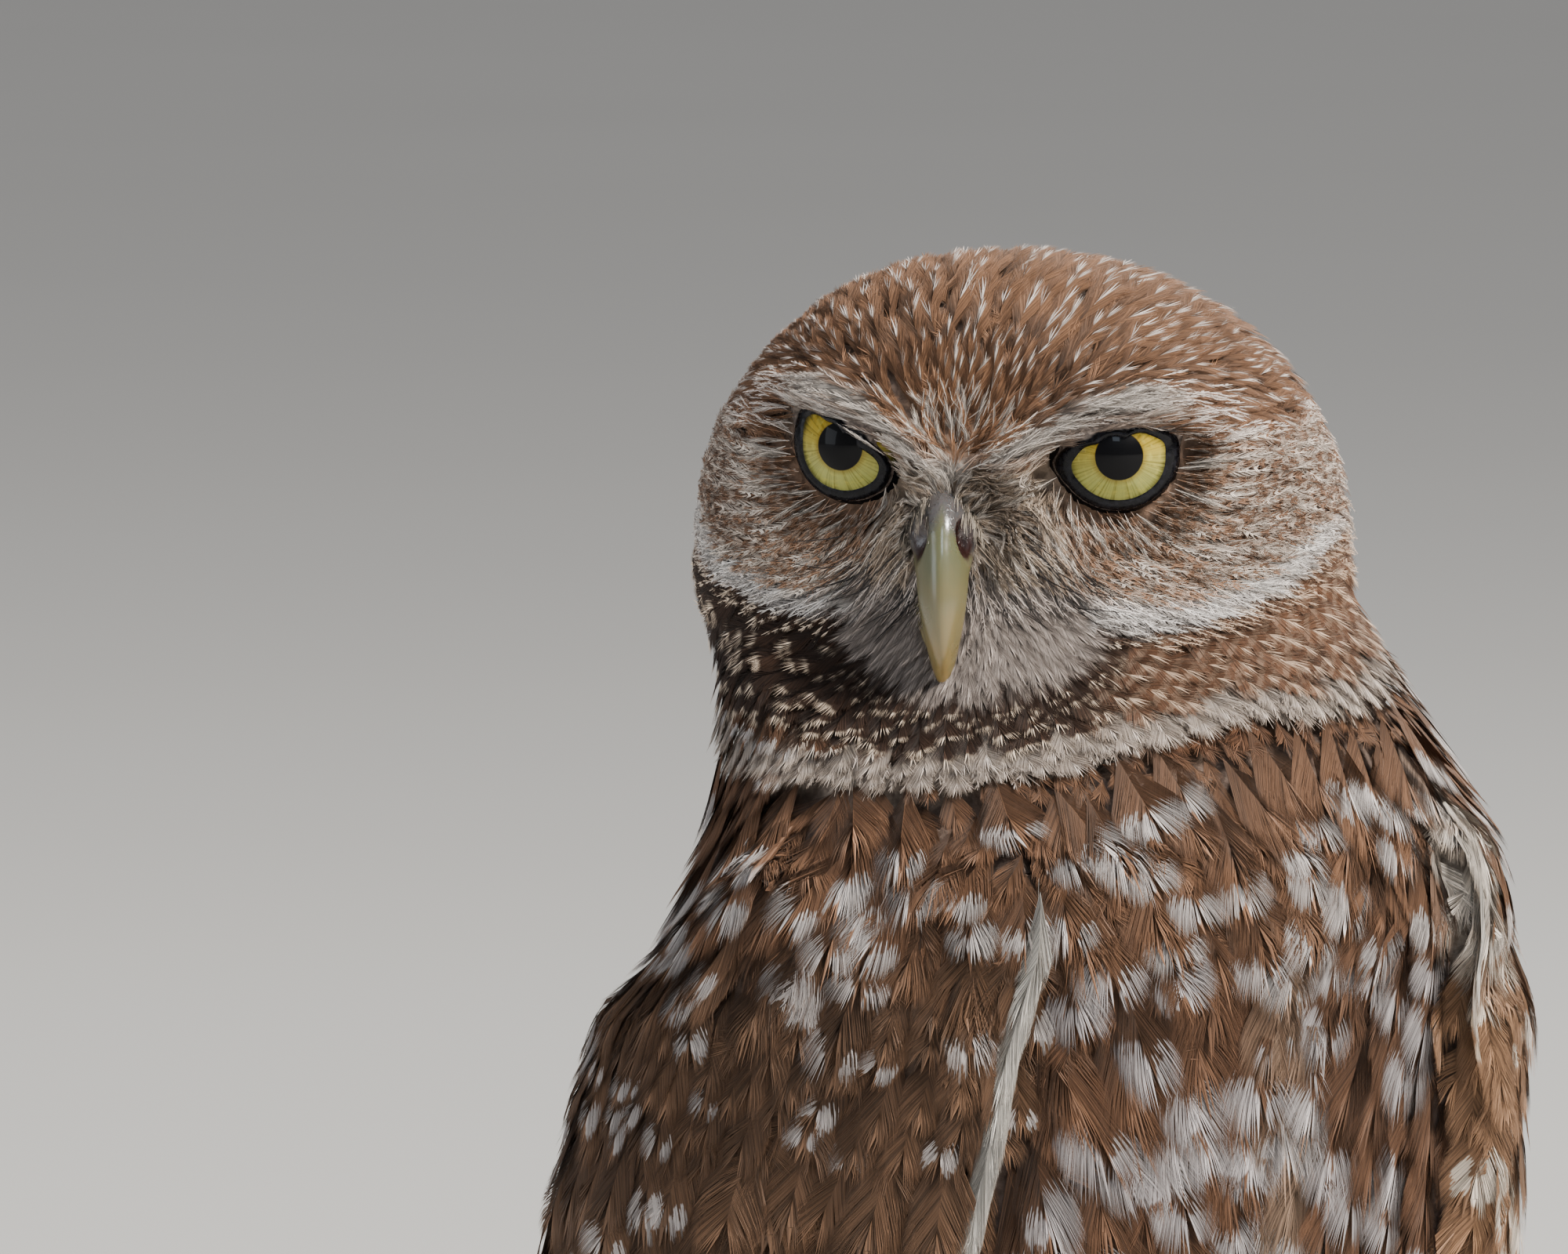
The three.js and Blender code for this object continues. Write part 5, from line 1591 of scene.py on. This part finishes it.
@dataclass
class Coat:
    """All feathers that grow from the skin."""

    flesh: Flesh
    seed: int = 7
    finish: bpy.types.Material | None = None
    crowding: float = 6.0  # candidates for each place that a feather may take
    shown: float = 0.72  # share of a feather's length at which its colours are read
    sunk: float = 0.94  # share of the coat's depth at which a feather starts
    sunk_at_rim: float = 0.05
    down_below: float = 0.35
    part: Array | None = None
    names: Array | None = None

    def choose(self, places: Array, part: Array) -> Array:
        """Names the tract that each place belongs to."""
        head = HEAD.inside(places)
        side, forward, up = np.abs(HEAD.beside(head)), -head[:, 1], head[:, 2]
        on_head = part == Part.HEAD
        z = places[:, 2]
        stripe, collar = Markings.stripe, Markings.collar_height(head)
        names = np.full(len(places), "breast", dtype=object)
        names[z < 104] = "belly"
        names[(part == Part.TRUNK) & (places[:, 1] > 6)] = "back"
        wing = part == Part.WING
        names[wing] = "covert"
        names[wing & (z > 146)] = "lesser_covert"
        names[wing & (z < 116)] = "great_covert"
        names[wing & (z > 159)] = "breast"
        names[part == Part.THIGH] = "thigh"
        names[(names == "breast") & (np.abs(places[:, 0] - 1.8) < 2.6) & (z < 162) & (places[:, 1] < -24)] = "seam"
        names[(names == "breast") & (z > 161)] = "bib"
        names[(names == "back") & (z > 158)] = "bib"
        hood = on_head & (up > Markings.collar_under)
        names[hood] = "nape"
        names[hood & (forward > -8) & (up < collar)] = "bib"
        face = hood & (forward > 0)
        names[hood & (forward > -8) & (up > 6)] = "crown"
        names[face & (stripe(head, Markings.brow_line, 4.4) > 0.5) & (up > 8)] = "forehead"
        names[face & (up > -5) & (up < 12.5)] = "cheek"
        names[face & (np.hypot(side, up - 11) < 9.5) & (up > 10)] = "forehead"
        names[face & (np.hypot(side, up - 11) < 4.2) & (up > 8)] = "apex"
        names[face & (side < 10.0) & (up < 10.5) & (up > -0.5)] = "lore"
        names[face & (up < -4.5 + side * 0.08) & (up > collar)] = "ruff"
        names[(on_head | (part == Part.TRUNK)) & (np.abs(up - collar) < 0.55) & (forward > -8)] = "collar"
        names[face & (np.hypot(side, (up + 4.4) * 2.3) < 13.4) & (up < -0.5)] = "chin"
        names[face & (forward > 19) & (np.hypot(side, up - 6) < 5.0) & (up > 3.5)] = "nares"
        names[face & (stripe(head, Markings.malar_line, 1.2) > 0.5)] = "malar"
        names[face & (stripe(head, Markings.brow_line, 1.45) > 0.5) & (side > 0.4) & (side < 21)] = "brow"
        for eye in EYES:
            local, off = eye.beyond(head)
            names[face & (local[:, 2] > 0) & (off < 1.5)] = "rim"
        return names

    def sow(self, under: bool) -> tuple[Array, Array, Array, Array]:
        """Sows feather roots over the surface, each as far from the others as its tract says.

        Args:
            under: sow the down below the feathers instead of the feathers.

        Returns:
            Places, normals, Part numbers and tract names.
        """
        rng = np.random.default_rng(self.seed + 40 * under)
        outer = self.flesh.outer
        corners = outer.points[outer.faces]
        area = np.linalg.norm(np.cross(corners[:, 2] - corners[:, 0], corners[:, 3] - corners[:, 1]), axis=1) / 2
        middle = corners.mean(axis=1)
        if self.part is None:
            self.part = self.flesh.part_of(middle)
            self.names = self.choose(middle, self.part)
        part, names = self.part, self.names
        if under:
            high = HEAD.inside(middle)[:, 2] > Markings.collar_under
            names = np.where((part == Part.HEAD) & high, "head_down", "body_down")
            names[(names == "body_down") & (middle[:, 2] > 152)] = "neck_down"
        spacing = {tract.name: tract.spacing for tract in TRACTS}
        gap = np.array([spacing[name] for name in names])
        wanted = area / gap**2 * self.crowding
        counts = np.floor(wanted + rng.random(len(wanted))).astype(int)
        face = np.repeat(np.arange(len(area)), counts)
        u, v = rng.random((2, len(face), 1))
        c = corners[face]
        places = (c[:, 0] * (1 - u) + c[:, 1] * u) * (1 - v) + (c[:, 3] * (1 - u) + c[:, 2] * u) * v
        order = rng.permutation(len(places))
        places, face = places[order], face[order]
        keep = self.apart(places, gap[face])
        places, face = places[keep], face[keep]
        open_eye = self.in_eye(places)
        places, face = places[~open_eye], face[~open_eye]
        return places, outer.face_normals[face], part[face], names[face]

    @staticmethod
    def apart(places: Array, gaps: Array) -> Array:
        """Picks places one after the other so that none is too near an earlier one."""
        cell = float(gaps.max())
        shelf: dict[tuple[int, ...], list[int]] = {}
        keep: list[int] = []
        steps = list(product((-1, 0, 1), repeat=3))
        rows = places.tolist()
        squares = (gaps**2).tolist()
        for number, (i, j, k) in enumerate(np.floor(places / cell).astype(int).tolist()):
            x, y, z = rows[number]
            square = squares[number]
            around = (shelf.get((i + a, j + b, k + c), ()) for a, b, c in steps)
            if not any(
                (rows[other][0] - x) ** 2 + (rows[other][1] - y) ** 2 + (rows[other][2] - z) ** 2
                < min(square, squares[other])
                for other in chain.from_iterable(around)
            ):
                shelf.setdefault((i, j, k), []).append(number)
                keep.append(number)
        return np.array(keep)

    @staticmethod
    def in_eye(places: Array, margin: float = 0.0) -> Array:
        """Says which places lie inside the opening of an eye, or within the margin of it."""
        head = HEAD.inside(places)
        hidden = np.zeros(len(places), dtype=bool)
        for eye in EYES:
            local, off = eye.beyond(head)
            hidden |= (off < margin) & (local[:, 2] > 0)
        return hidden

    def trace(self, tract: Tract, places: Array, normals: Array, part: Array, lengths: Array,
              rng: np.random.Generator) -> tuple[Array, Array]:
        """Follows the lie of the coat from each root.

        Args:
            tract: the kind of feather.
            places: roots on the outer surface.
            normals: of the surface there.
            part: each root's Part, as a number.
            lengths: of the feathers.
            rng: seeded source of chance.

        Returns:
            The feathers' middle lines on the outer surface, and the normals along them.
        """
        lie = Lie()
        line, above = [places], [normals]
        turn = np.radians(rng.normal(0, tract.stray, len(places)))[:, None]
        step = (lengths / (tract.stations - 1))[:, None]
        point, normal = places, normals
        for _ in range(tract.stations - 1):
            way = lie.at(point, normal, part)
            way = way * np.cos(turn) + np.cross(normal, way) * np.sin(turn)
            point, normal = self.flesh.outer.nearest(point + way * step)
            line.append(point)
            above.append(normal)
        return np.stack(line, axis=1), np.stack(above, axis=1)

    def grow(self) -> list[Flock]:
        """Grows every tract.

        Returns:
            The flocks, ready to be built.
        """
        sown = {under: self.sow(under) for under in (False, True)}
        places, normals, part, names = (value.copy() for value in sown[False])
        head = HEAD.inside(places)
        below = (names == "lore") & (head[:, 2] < 5) & (np.abs(head[:, 0]) > 2.5)
        few = below & (np.random.default_rng(self.seed).random(len(below)) < 0.3)
        sown[None] = (places, normals, part, np.where(few, "whisker", ""))
        flocks = []
        for number, tract in enumerate(TRACTS):
            places, normals, part, names = sown[None if tract.name == "whisker" else tract.under]
            chosen = names == tract.name
            if not chosen.any():
                continue
            rng = np.random.default_rng(self.seed * 100 + number)
            roots, up, kind = places[chosen], normals[chosen], part[chosen]
            lengths = tract.length * (1 + tract.vary * rng.uniform(-1, 1, len(roots)))
            line, above = self.trace(tract, roots, up, kind, lengths, rng)
            show = line[:, int((tract.stations - 1) * self.shown)]
            rows = Markings().of(show, kind)
            depth = self.flesh.depth(roots, kind)
            share = np.linspace(0, 1, tract.stations)
            rise = tract.rise * (0.4 + 1.2 * rng.random(len(roots)))
            at_rim = tract.name == "rim"
            low = -depth[:, None] * (self.sunk_at_rim if at_rim else self.sunk) * (1 - share**0.7)
            low += rng.uniform(-0.1, 0.14, (len(roots), 1))
            lift = low + rise[:, None] * share**1.5 - self.down_below * tract.under
            line = line + above * lift[..., None]
            margin = 0.0 if at_rim else 0.3
            keep = ~np.any([self.in_eye(line[:, i], margin) for i in range(1, tract.stations)], axis=0)
            rows = self.fickle(tract, rows, rng)
            flocks.append(
                Flock(
                    tract.name, tract.vane, line[keep], above[keep],
                    (tract.half_width * (1 + tract.vary * rng.uniform(-1, 1, len(roots))))[keep],
                    unwrap(roots, kind)[keep], rows[keep], tract.curl, 6, f"{tract.area}_plumage",
                    self.seed + number,
                )
            )
        return flocks

    @staticmethod
    def fickle(tract: Tract, rows: Array, rng: np.random.Generator) -> Array:
        """Varies feathers' tone, darkens the down under the coat as painted shade, and leaves marks off some of them.
        """
        tone = 1 + rng.normal(0, 0.12, (len(rows), 1))
        rows = rows.copy()
        # Painted shade: the down that lies under the coat is made darker.
        rows[:, :3] *= tone * (0.88 if tract.under else 1.0)
        if tract.name in ("chin", "brow", "malar", "collar"):
            rows[:, :3] *= 0.5 + 0.5 / tone
        if tract.name in ("cheek", "lore", "apex", "nares", "rim"):
            pale = rng.random(len(rows)) < {"nares": 0.5, "apex": 0.4}.get(tract.name, 0.3)
            rows[pale, :3] = rows[pale, 3:6]
        bare = {"crown": 0.3, "forehead": 0.2, "nape": 0.35, "lesser_covert": 0.68, "covert": 0.8,
                "great_covert": 0.6, "breast": 0.45, "back": 0.4, "bib": 0.42}.get(tract.name, float(tract.under))
        rows[:, 6:9] *= (rng.random(len(rows)) > bare)[:, None]
        if tract.name == "whisker":
            rows[:] = Marking((0.012, 0.009, 0.008), (0.012, 0.009, 0.008)).row()
        return rows

    def wing_edge(self) -> Flock:
        """Lays the pale slim feathers along the front edge of both folded wings."""
        rng = np.random.default_rng(self.seed + 90)
        lines, normals = [], []
        for side in (1.0, -1.0):
            for top in np.arange(165.0, 156.0 if side > 0 else 96.0, -3.6):
                z = np.linspace(top, top - 15.0, 9)
                x = (Flesh.wing_front(z) + 0.5 + rng.uniform(-0.25, 0.25)) * side
                line = []
                for a, c in zip(x.tolist(), z.tolist()):
                    hit = self.flesh.outer.tree.ray_cast(Vector((a, -90.0, c)), Vector((0, 1, 0)))[0]
                    line.append(hit or [a, -30.0, c])
                away = unit(np.array(line) * (1, 1, 0))
                line = np.array(line) + away * np.linspace(0.1, 0.75, 9)[:, None]
                lines.append(line)
                normals.append(unit(away + [0.5 * side, 0, 0]))
        line = np.array(lines)
        rows = np.tile(shade((244, 236, 224), (246, 240, 232)).row(), (len(line), 1))
        low = ramp(158, 150, line[:, 4, 2]) * (line[:, 0, 0] > 0)
        rows += (shade((146, 108, 78), (214, 194, 170), bars=0.8).row() - rows) * low[:, None]
        width = rng.uniform(1.3, 1.6, len(line)) + 0.9 * (line[:, 0, 0] > 0)
        return Flock.along("wing_edge", COVERT, lines, normals, width, rows, Part.WING, "wing_plumage", self.seed + 91)

    def bristles(self) -> Flock:
        """Lays the fine bristles that hang over the waxy root of the bill."""
        rng = np.random.default_rng(self.seed + 95)
        share = np.linspace(0, 1, 7)
        bill = Bill()
        rings = bill.half(bill.upper, bill.ridge)[0][:-2].reshape(bill.rings, bill.around, 3)
        away = unit(rings - rings.mean(axis=1, keepdims=True))
        columns = np.append(rng.integers(-6, 8, 56), rng.integers(13, 27, 56))
        lines, normals = [], []
        for column in np.append(columns, rng.integers(8, 13, 9)):
            first = rng.uniform(0.5, 6.0)
            last = first + (rng.uniform(1.5, 3.5) if 8 <= column < 13 else rng.uniform(5.0, 11.0))
            row = np.linspace(first, last, 7)
            place, out = (
                np.column_stack([np.interp(row, np.arange(bill.rings), values) for values in grid[:, column].T])
                for grid in (rings, away)
            )
            place += out * (0.12 + rng.uniform(0.3, 1.3) * share**1.4)[:, None]
            place[:, 2] -= rng.uniform(0.2, 1.6) * share**2
            lines.append(bill.placed(place))
            normals.append(unit(out @ HEAD.rotation.T))
        rows = np.tile(shade((198, 184, 166), (214, 200, 182)).row(), (len(lines), 1))
        rows[rng.random(len(lines)) < 0.3, :3] *= 0.35
        width = rng.uniform(0.35, 0.6, len(lines))
        return Flock.along(
            "bristles", LASH, lines, normals, width, rows, Part.HEAD, "head_plumage", self.seed + 96, variants=6
        )

    def build(self) -> list[bpy.types.Object]:
        """Makes every flock's pieces."""
        self.finish = PlumageFinish().make()
        flocks = [*self.grow(), self.wing_edge(), self.bristles()]
        return [piece for flock in flocks for piece in flock.build(self.finish)]


# ---- Flight feathers and tail


@dataclass
class FlightFeathers:
    """Long feathers of the wings and the tail, set one by one."""

    finish: bpy.types.Material
    wing_count: int = 12
    tail_count: int = 12
    stations: int = 12
    seed: int = 23

    def laid(self, name: str, lines: list[Array], normals: list[Array], half_widths: list[float],
             marking: Marking, slot: str, solid: str) -> list[bpy.types.Object]:
        """Builds long feathers along given lines, with their outward normals, in place of a solid."""
        rows = np.tile(marking.row(), (len(lines), 1))
        flock = Flock.along(
            name, FLIGHT, lines, normals, half_widths, rows, Part.TRUNK, slot, self.seed, curl=0.008
        )
        return flock.build(self.finish, solid)

    def wing(self, side: int) -> list[bpy.types.Object]:
        """Lays the flight feathers of one wing, the outermost on top."""
        word = "left" if side > 0 else "right"
        lines, normals, widths = [], [], []
        for k in range(self.wing_count):
            t = k / (self.wing_count - 1)
            start = np.array([side * (41 - 9 * t), -6.0 + 30 * t, 112.0 - 16 * t])
            bend = np.array([side * (38.5 - 10 * t), 14.0 + 22 * t, 66.0 - 4 * t])
            end = np.array([side * (23.5 - 13 * t), 36.0 + 7.5 * t, 24.0 + 34 * t**1.5])
            line = curve_through(np.array([start, bend, end]), self.stations)
            outward = unit(line * (1, 1, 0) - np.array([0, 8, 0]))
            line = line + outward * (1.6 * (1 - t) - 0.6)
            lines.append(line)
            normals.append(outward)
            widths.append(5.6 - 0.6 * t)
        marking = shade((92, 68, 52), (188, 166, 142), bars=1.6)
        return self.laid(f"flight_{word}", lines, normals, widths, marking, "wing_plumage", f"wingtip_{word}")

    def tail(self) -> list[bpy.types.Object]:
        """Lays the tail feathers as a closed fan."""
        lines, normals, widths = [], [], []
        for k in range(self.tail_count):
            t = 2 * k / (self.tail_count - 1) - 1
            root = np.array([t * 8.0, 22.0 - 1.5 * abs(t), 88.0])
            end = np.array([t * 17.0, 41.5 - 2.5 * t * t, 15.0 + 5.0 * t * t])
            middle = (root + end) / 2 + np.array([0, 1.0, 0])
            line = curve_through(np.array([root, middle, end]), self.stations)
            line[:, 1] += 0.16 * (self.tail_count / 2 - abs(k - (self.tail_count - 1) / 2)) - 0.4
            lines.append(line)
            normals.append(np.tile(unit(np.array([t * 0.35, 1.0, 0.25])), (self.stations, 1)))
            widths.append(5.4)
        marking = shade((96, 72, 55), (196, 176, 150), bars=1.6)
        return self.laid("tail_fan", lines, normals, widths, marking, "tail_plumage", "tail")

    def rump(self) -> list[bpy.types.Object]:
        """Lays the coverts over the root of the tail, brown on the rump and pale below."""
        rng = np.random.default_rng(self.seed + 2)
        lines, normals, widths = [], [], []
        for row, reach, count in ((92.0, 32.0, 13), (80.0, 34.0, 12), (70.0, 30.0, 11)):
            for x, top in zip(np.linspace(-28.0, 28.0, count), row + rng.uniform(-4.5, 4.5, count)):
                start = np.array([x, 36.2 - 0.012 * x * x, top])
                drift = rng.uniform(-1.5, 1.5)
                end = np.array([x * 0.78 + drift, 39.2 - 0.006 * x * x - 0.02 * (top - 60), top - reach])
                middle = (start + end) / 2 + np.array([0, 1.0, 0])
                lines.append(curve_through(np.array([start, middle, end]), self.stations))
                normals.append(np.tile(unit(np.array([x * 0.02, 1.0, 0.15])), (self.stations, 1)))
                widths.append(4.6)
        rows = np.tile(Marking(Markings.back.ground, Markings.back.light, spot=0.6).row(), (len(lines), 1))
        rows[:, 6] *= rng.random(len(rows)) < 0.5
        under = [((-3.0, 62.0), (7.0, 45.5), (23.0, 33.0)), ((10.0, 50.0), (19.0, 41.0), (31.0, 27.0))]
        for places in under:
            for x in np.linspace(-11.0, 11.0, 11) + rng.normal(0, 0.4, 11):
                bow = np.array([0.055, 0.055, 0.03]) * x * x
                knots = [(x * taper, y, z + b) for taper, (y, z), b in zip((1.0, 1.0, 0.8), places, bow)]
                lines.append(curve_through(np.array(knots), self.stations))
                normals.append(np.tile(unit(np.array([x * 0.08, -0.65, -0.75])), (self.stations, 1)))
                widths.append(5.0)
        pale = np.tile(shade((178, 164, 148), (188, 176, 162)).row(), (len(lines) - len(rows), 1))
        flock = Flock.along(
            "rump", COVERT, lines, normals, widths, np.vstack([rows, pale]), Part.TRUNK, "tail_plumage", self.seed + 1,
            curl=0.02,
        )
        return flock.build(self.finish)

    def build(self) -> list[bpy.types.Object]:
        """Builds both wings' flight feathers, the tail and the coverts at its root."""
        return [*self.wing(1), *self.wing(-1), *self.tail(), *self.rump()]


# ---- Studio


@dataclass(frozen=True)
class Studio:
    """Pale floor, soft lights and the camera at the photograph's angle."""

    azimuth: float = -33.0
    elevation: float = 4.0
    distance: float = 2500.0
    lens: float = 607.5
    aim: tuple[float, float, float] = (0.0, -3.783, 185.33)
    aside: float = -24.07

    def axes(self) -> tuple[Array, Array]:
        """The way from the object to the camera, and the camera's right."""
        a, e = math.radians(self.azimuth), math.radians(self.elevation)
        back = np.array([math.sin(a) * math.cos(e), -math.cos(a) * math.cos(e), math.sin(e)])
        return back, np.array([math.cos(a), math.sin(a), 0.0])

    @staticmethod
    def light(name: str, where: Array, size: float, power: float, colour: Colour) -> None:
        """Adds a soft square light, at a place in metres, that faces the owl."""
        place = tuple(where.tolist())
        lamp = bpy.data.lights.new(name, "AREA")
        lamp.size = size
        lamp.energy = power
        lamp.color = colour
        holder = bpy.data.objects.new(name, lamp)
        holder.location = place
        holder.rotation_euler = (Vector((0, 0, 0.14)) - Vector(place)).to_track_quat("-Z", "Y").to_euler()
        bpy.context.scene.collection.objects.link(holder)

    def build(self) -> None:
        """Makes the floor, the lights and the camera."""
        reach = 9000.0
        corners = np.array([[-reach, -reach, 0], [reach, -reach, 0], [reach, reach, 0], [-reach, reach, 0]])
        floor = make_object("floor", mesh_of("floor", corners - (0, 0, 0.02), [[0, 1, 2, 3]]))
        floor.data.materials.append(FloorFinish().make())
        back, right = self.axes()
        up = np.cross(back, right)
        self.light("key", back * 1.2 + right * 1.5 + up * 1.9, 0.5, 150.0, (1.0, 0.955, 0.89))
        self.light("sky", back * 1.9 + up * 1.35 + right * 0.1, 0.6, 9.0, (0.7, 0.84, 1.0))
        self.light("fill", back * 0.9 - right * 2.2 + up * 0.6, 1.2, 12.0, (0.86, 0.92, 1.0))
        self.light("rim", -back * 1.3 + right * 0.9 + up * 1.8, 1.0, 34.0, (1.0, 0.97, 0.92))
        world = bpy.data.worlds.new("studio")
        world.use_nodes = True
        glow, strength = world.node_tree.nodes["Background"].inputs[:2]
        glow.default_value, strength.default_value = (0.86, 0.865, 0.88, 1.0), 0.4
        bpy.context.scene.world = world
        lens = bpy.data.cameras.new("camera")
        lens.sensor_width = 36.0
        lens.lens = self.lens
        lens.clip_start = 0.1
        lens.clip_end = 60.0
        camera = bpy.data.objects.new("camera", lens)
        target = np.array(self.aim) + right * self.aside
        camera.location = (target + back * self.distance) * MM
        camera.rotation_mode = "QUATERNION"
        camera.rotation_quaternion = Vector((-back).tolist()).to_track_quat("-Z", "Y")
        bpy.context.scene.collection.objects.link(camera)
        bpy.context.scene.camera = camera


def main() -> None:
    """Builds the owl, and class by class."""
    logging.basicConfig(level=logging.INFO, format="%(message)s")
    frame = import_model()
    Studio().build()
    log.info("studio: floor, four lights and the camera")
    flesh = Flesh(frame)
    skin = flesh.build()
    log.info("skin: %d faces", len(skin.data.polygons))
    bare = [piece for eye in EYES for piece in eye.build()]
    bare += Bill().build()
    bare += [piece for side in (1, -1) for piece in Foot(side).build(frame)]
    for piece in bare:
        log.info("%s: %d faces", piece.name, len(piece.data.polygons))
    coat = Coat(flesh)
    pieces = coat.build()
    pieces += FlightFeathers(coat.finish).build()
    triangles = sum(len(piece.data.polygons) for piece in pieces)
    log.info("coat: %d pieces, %d triangles", len(pieces), triangles)


if __name__ == "__main__":
    main()
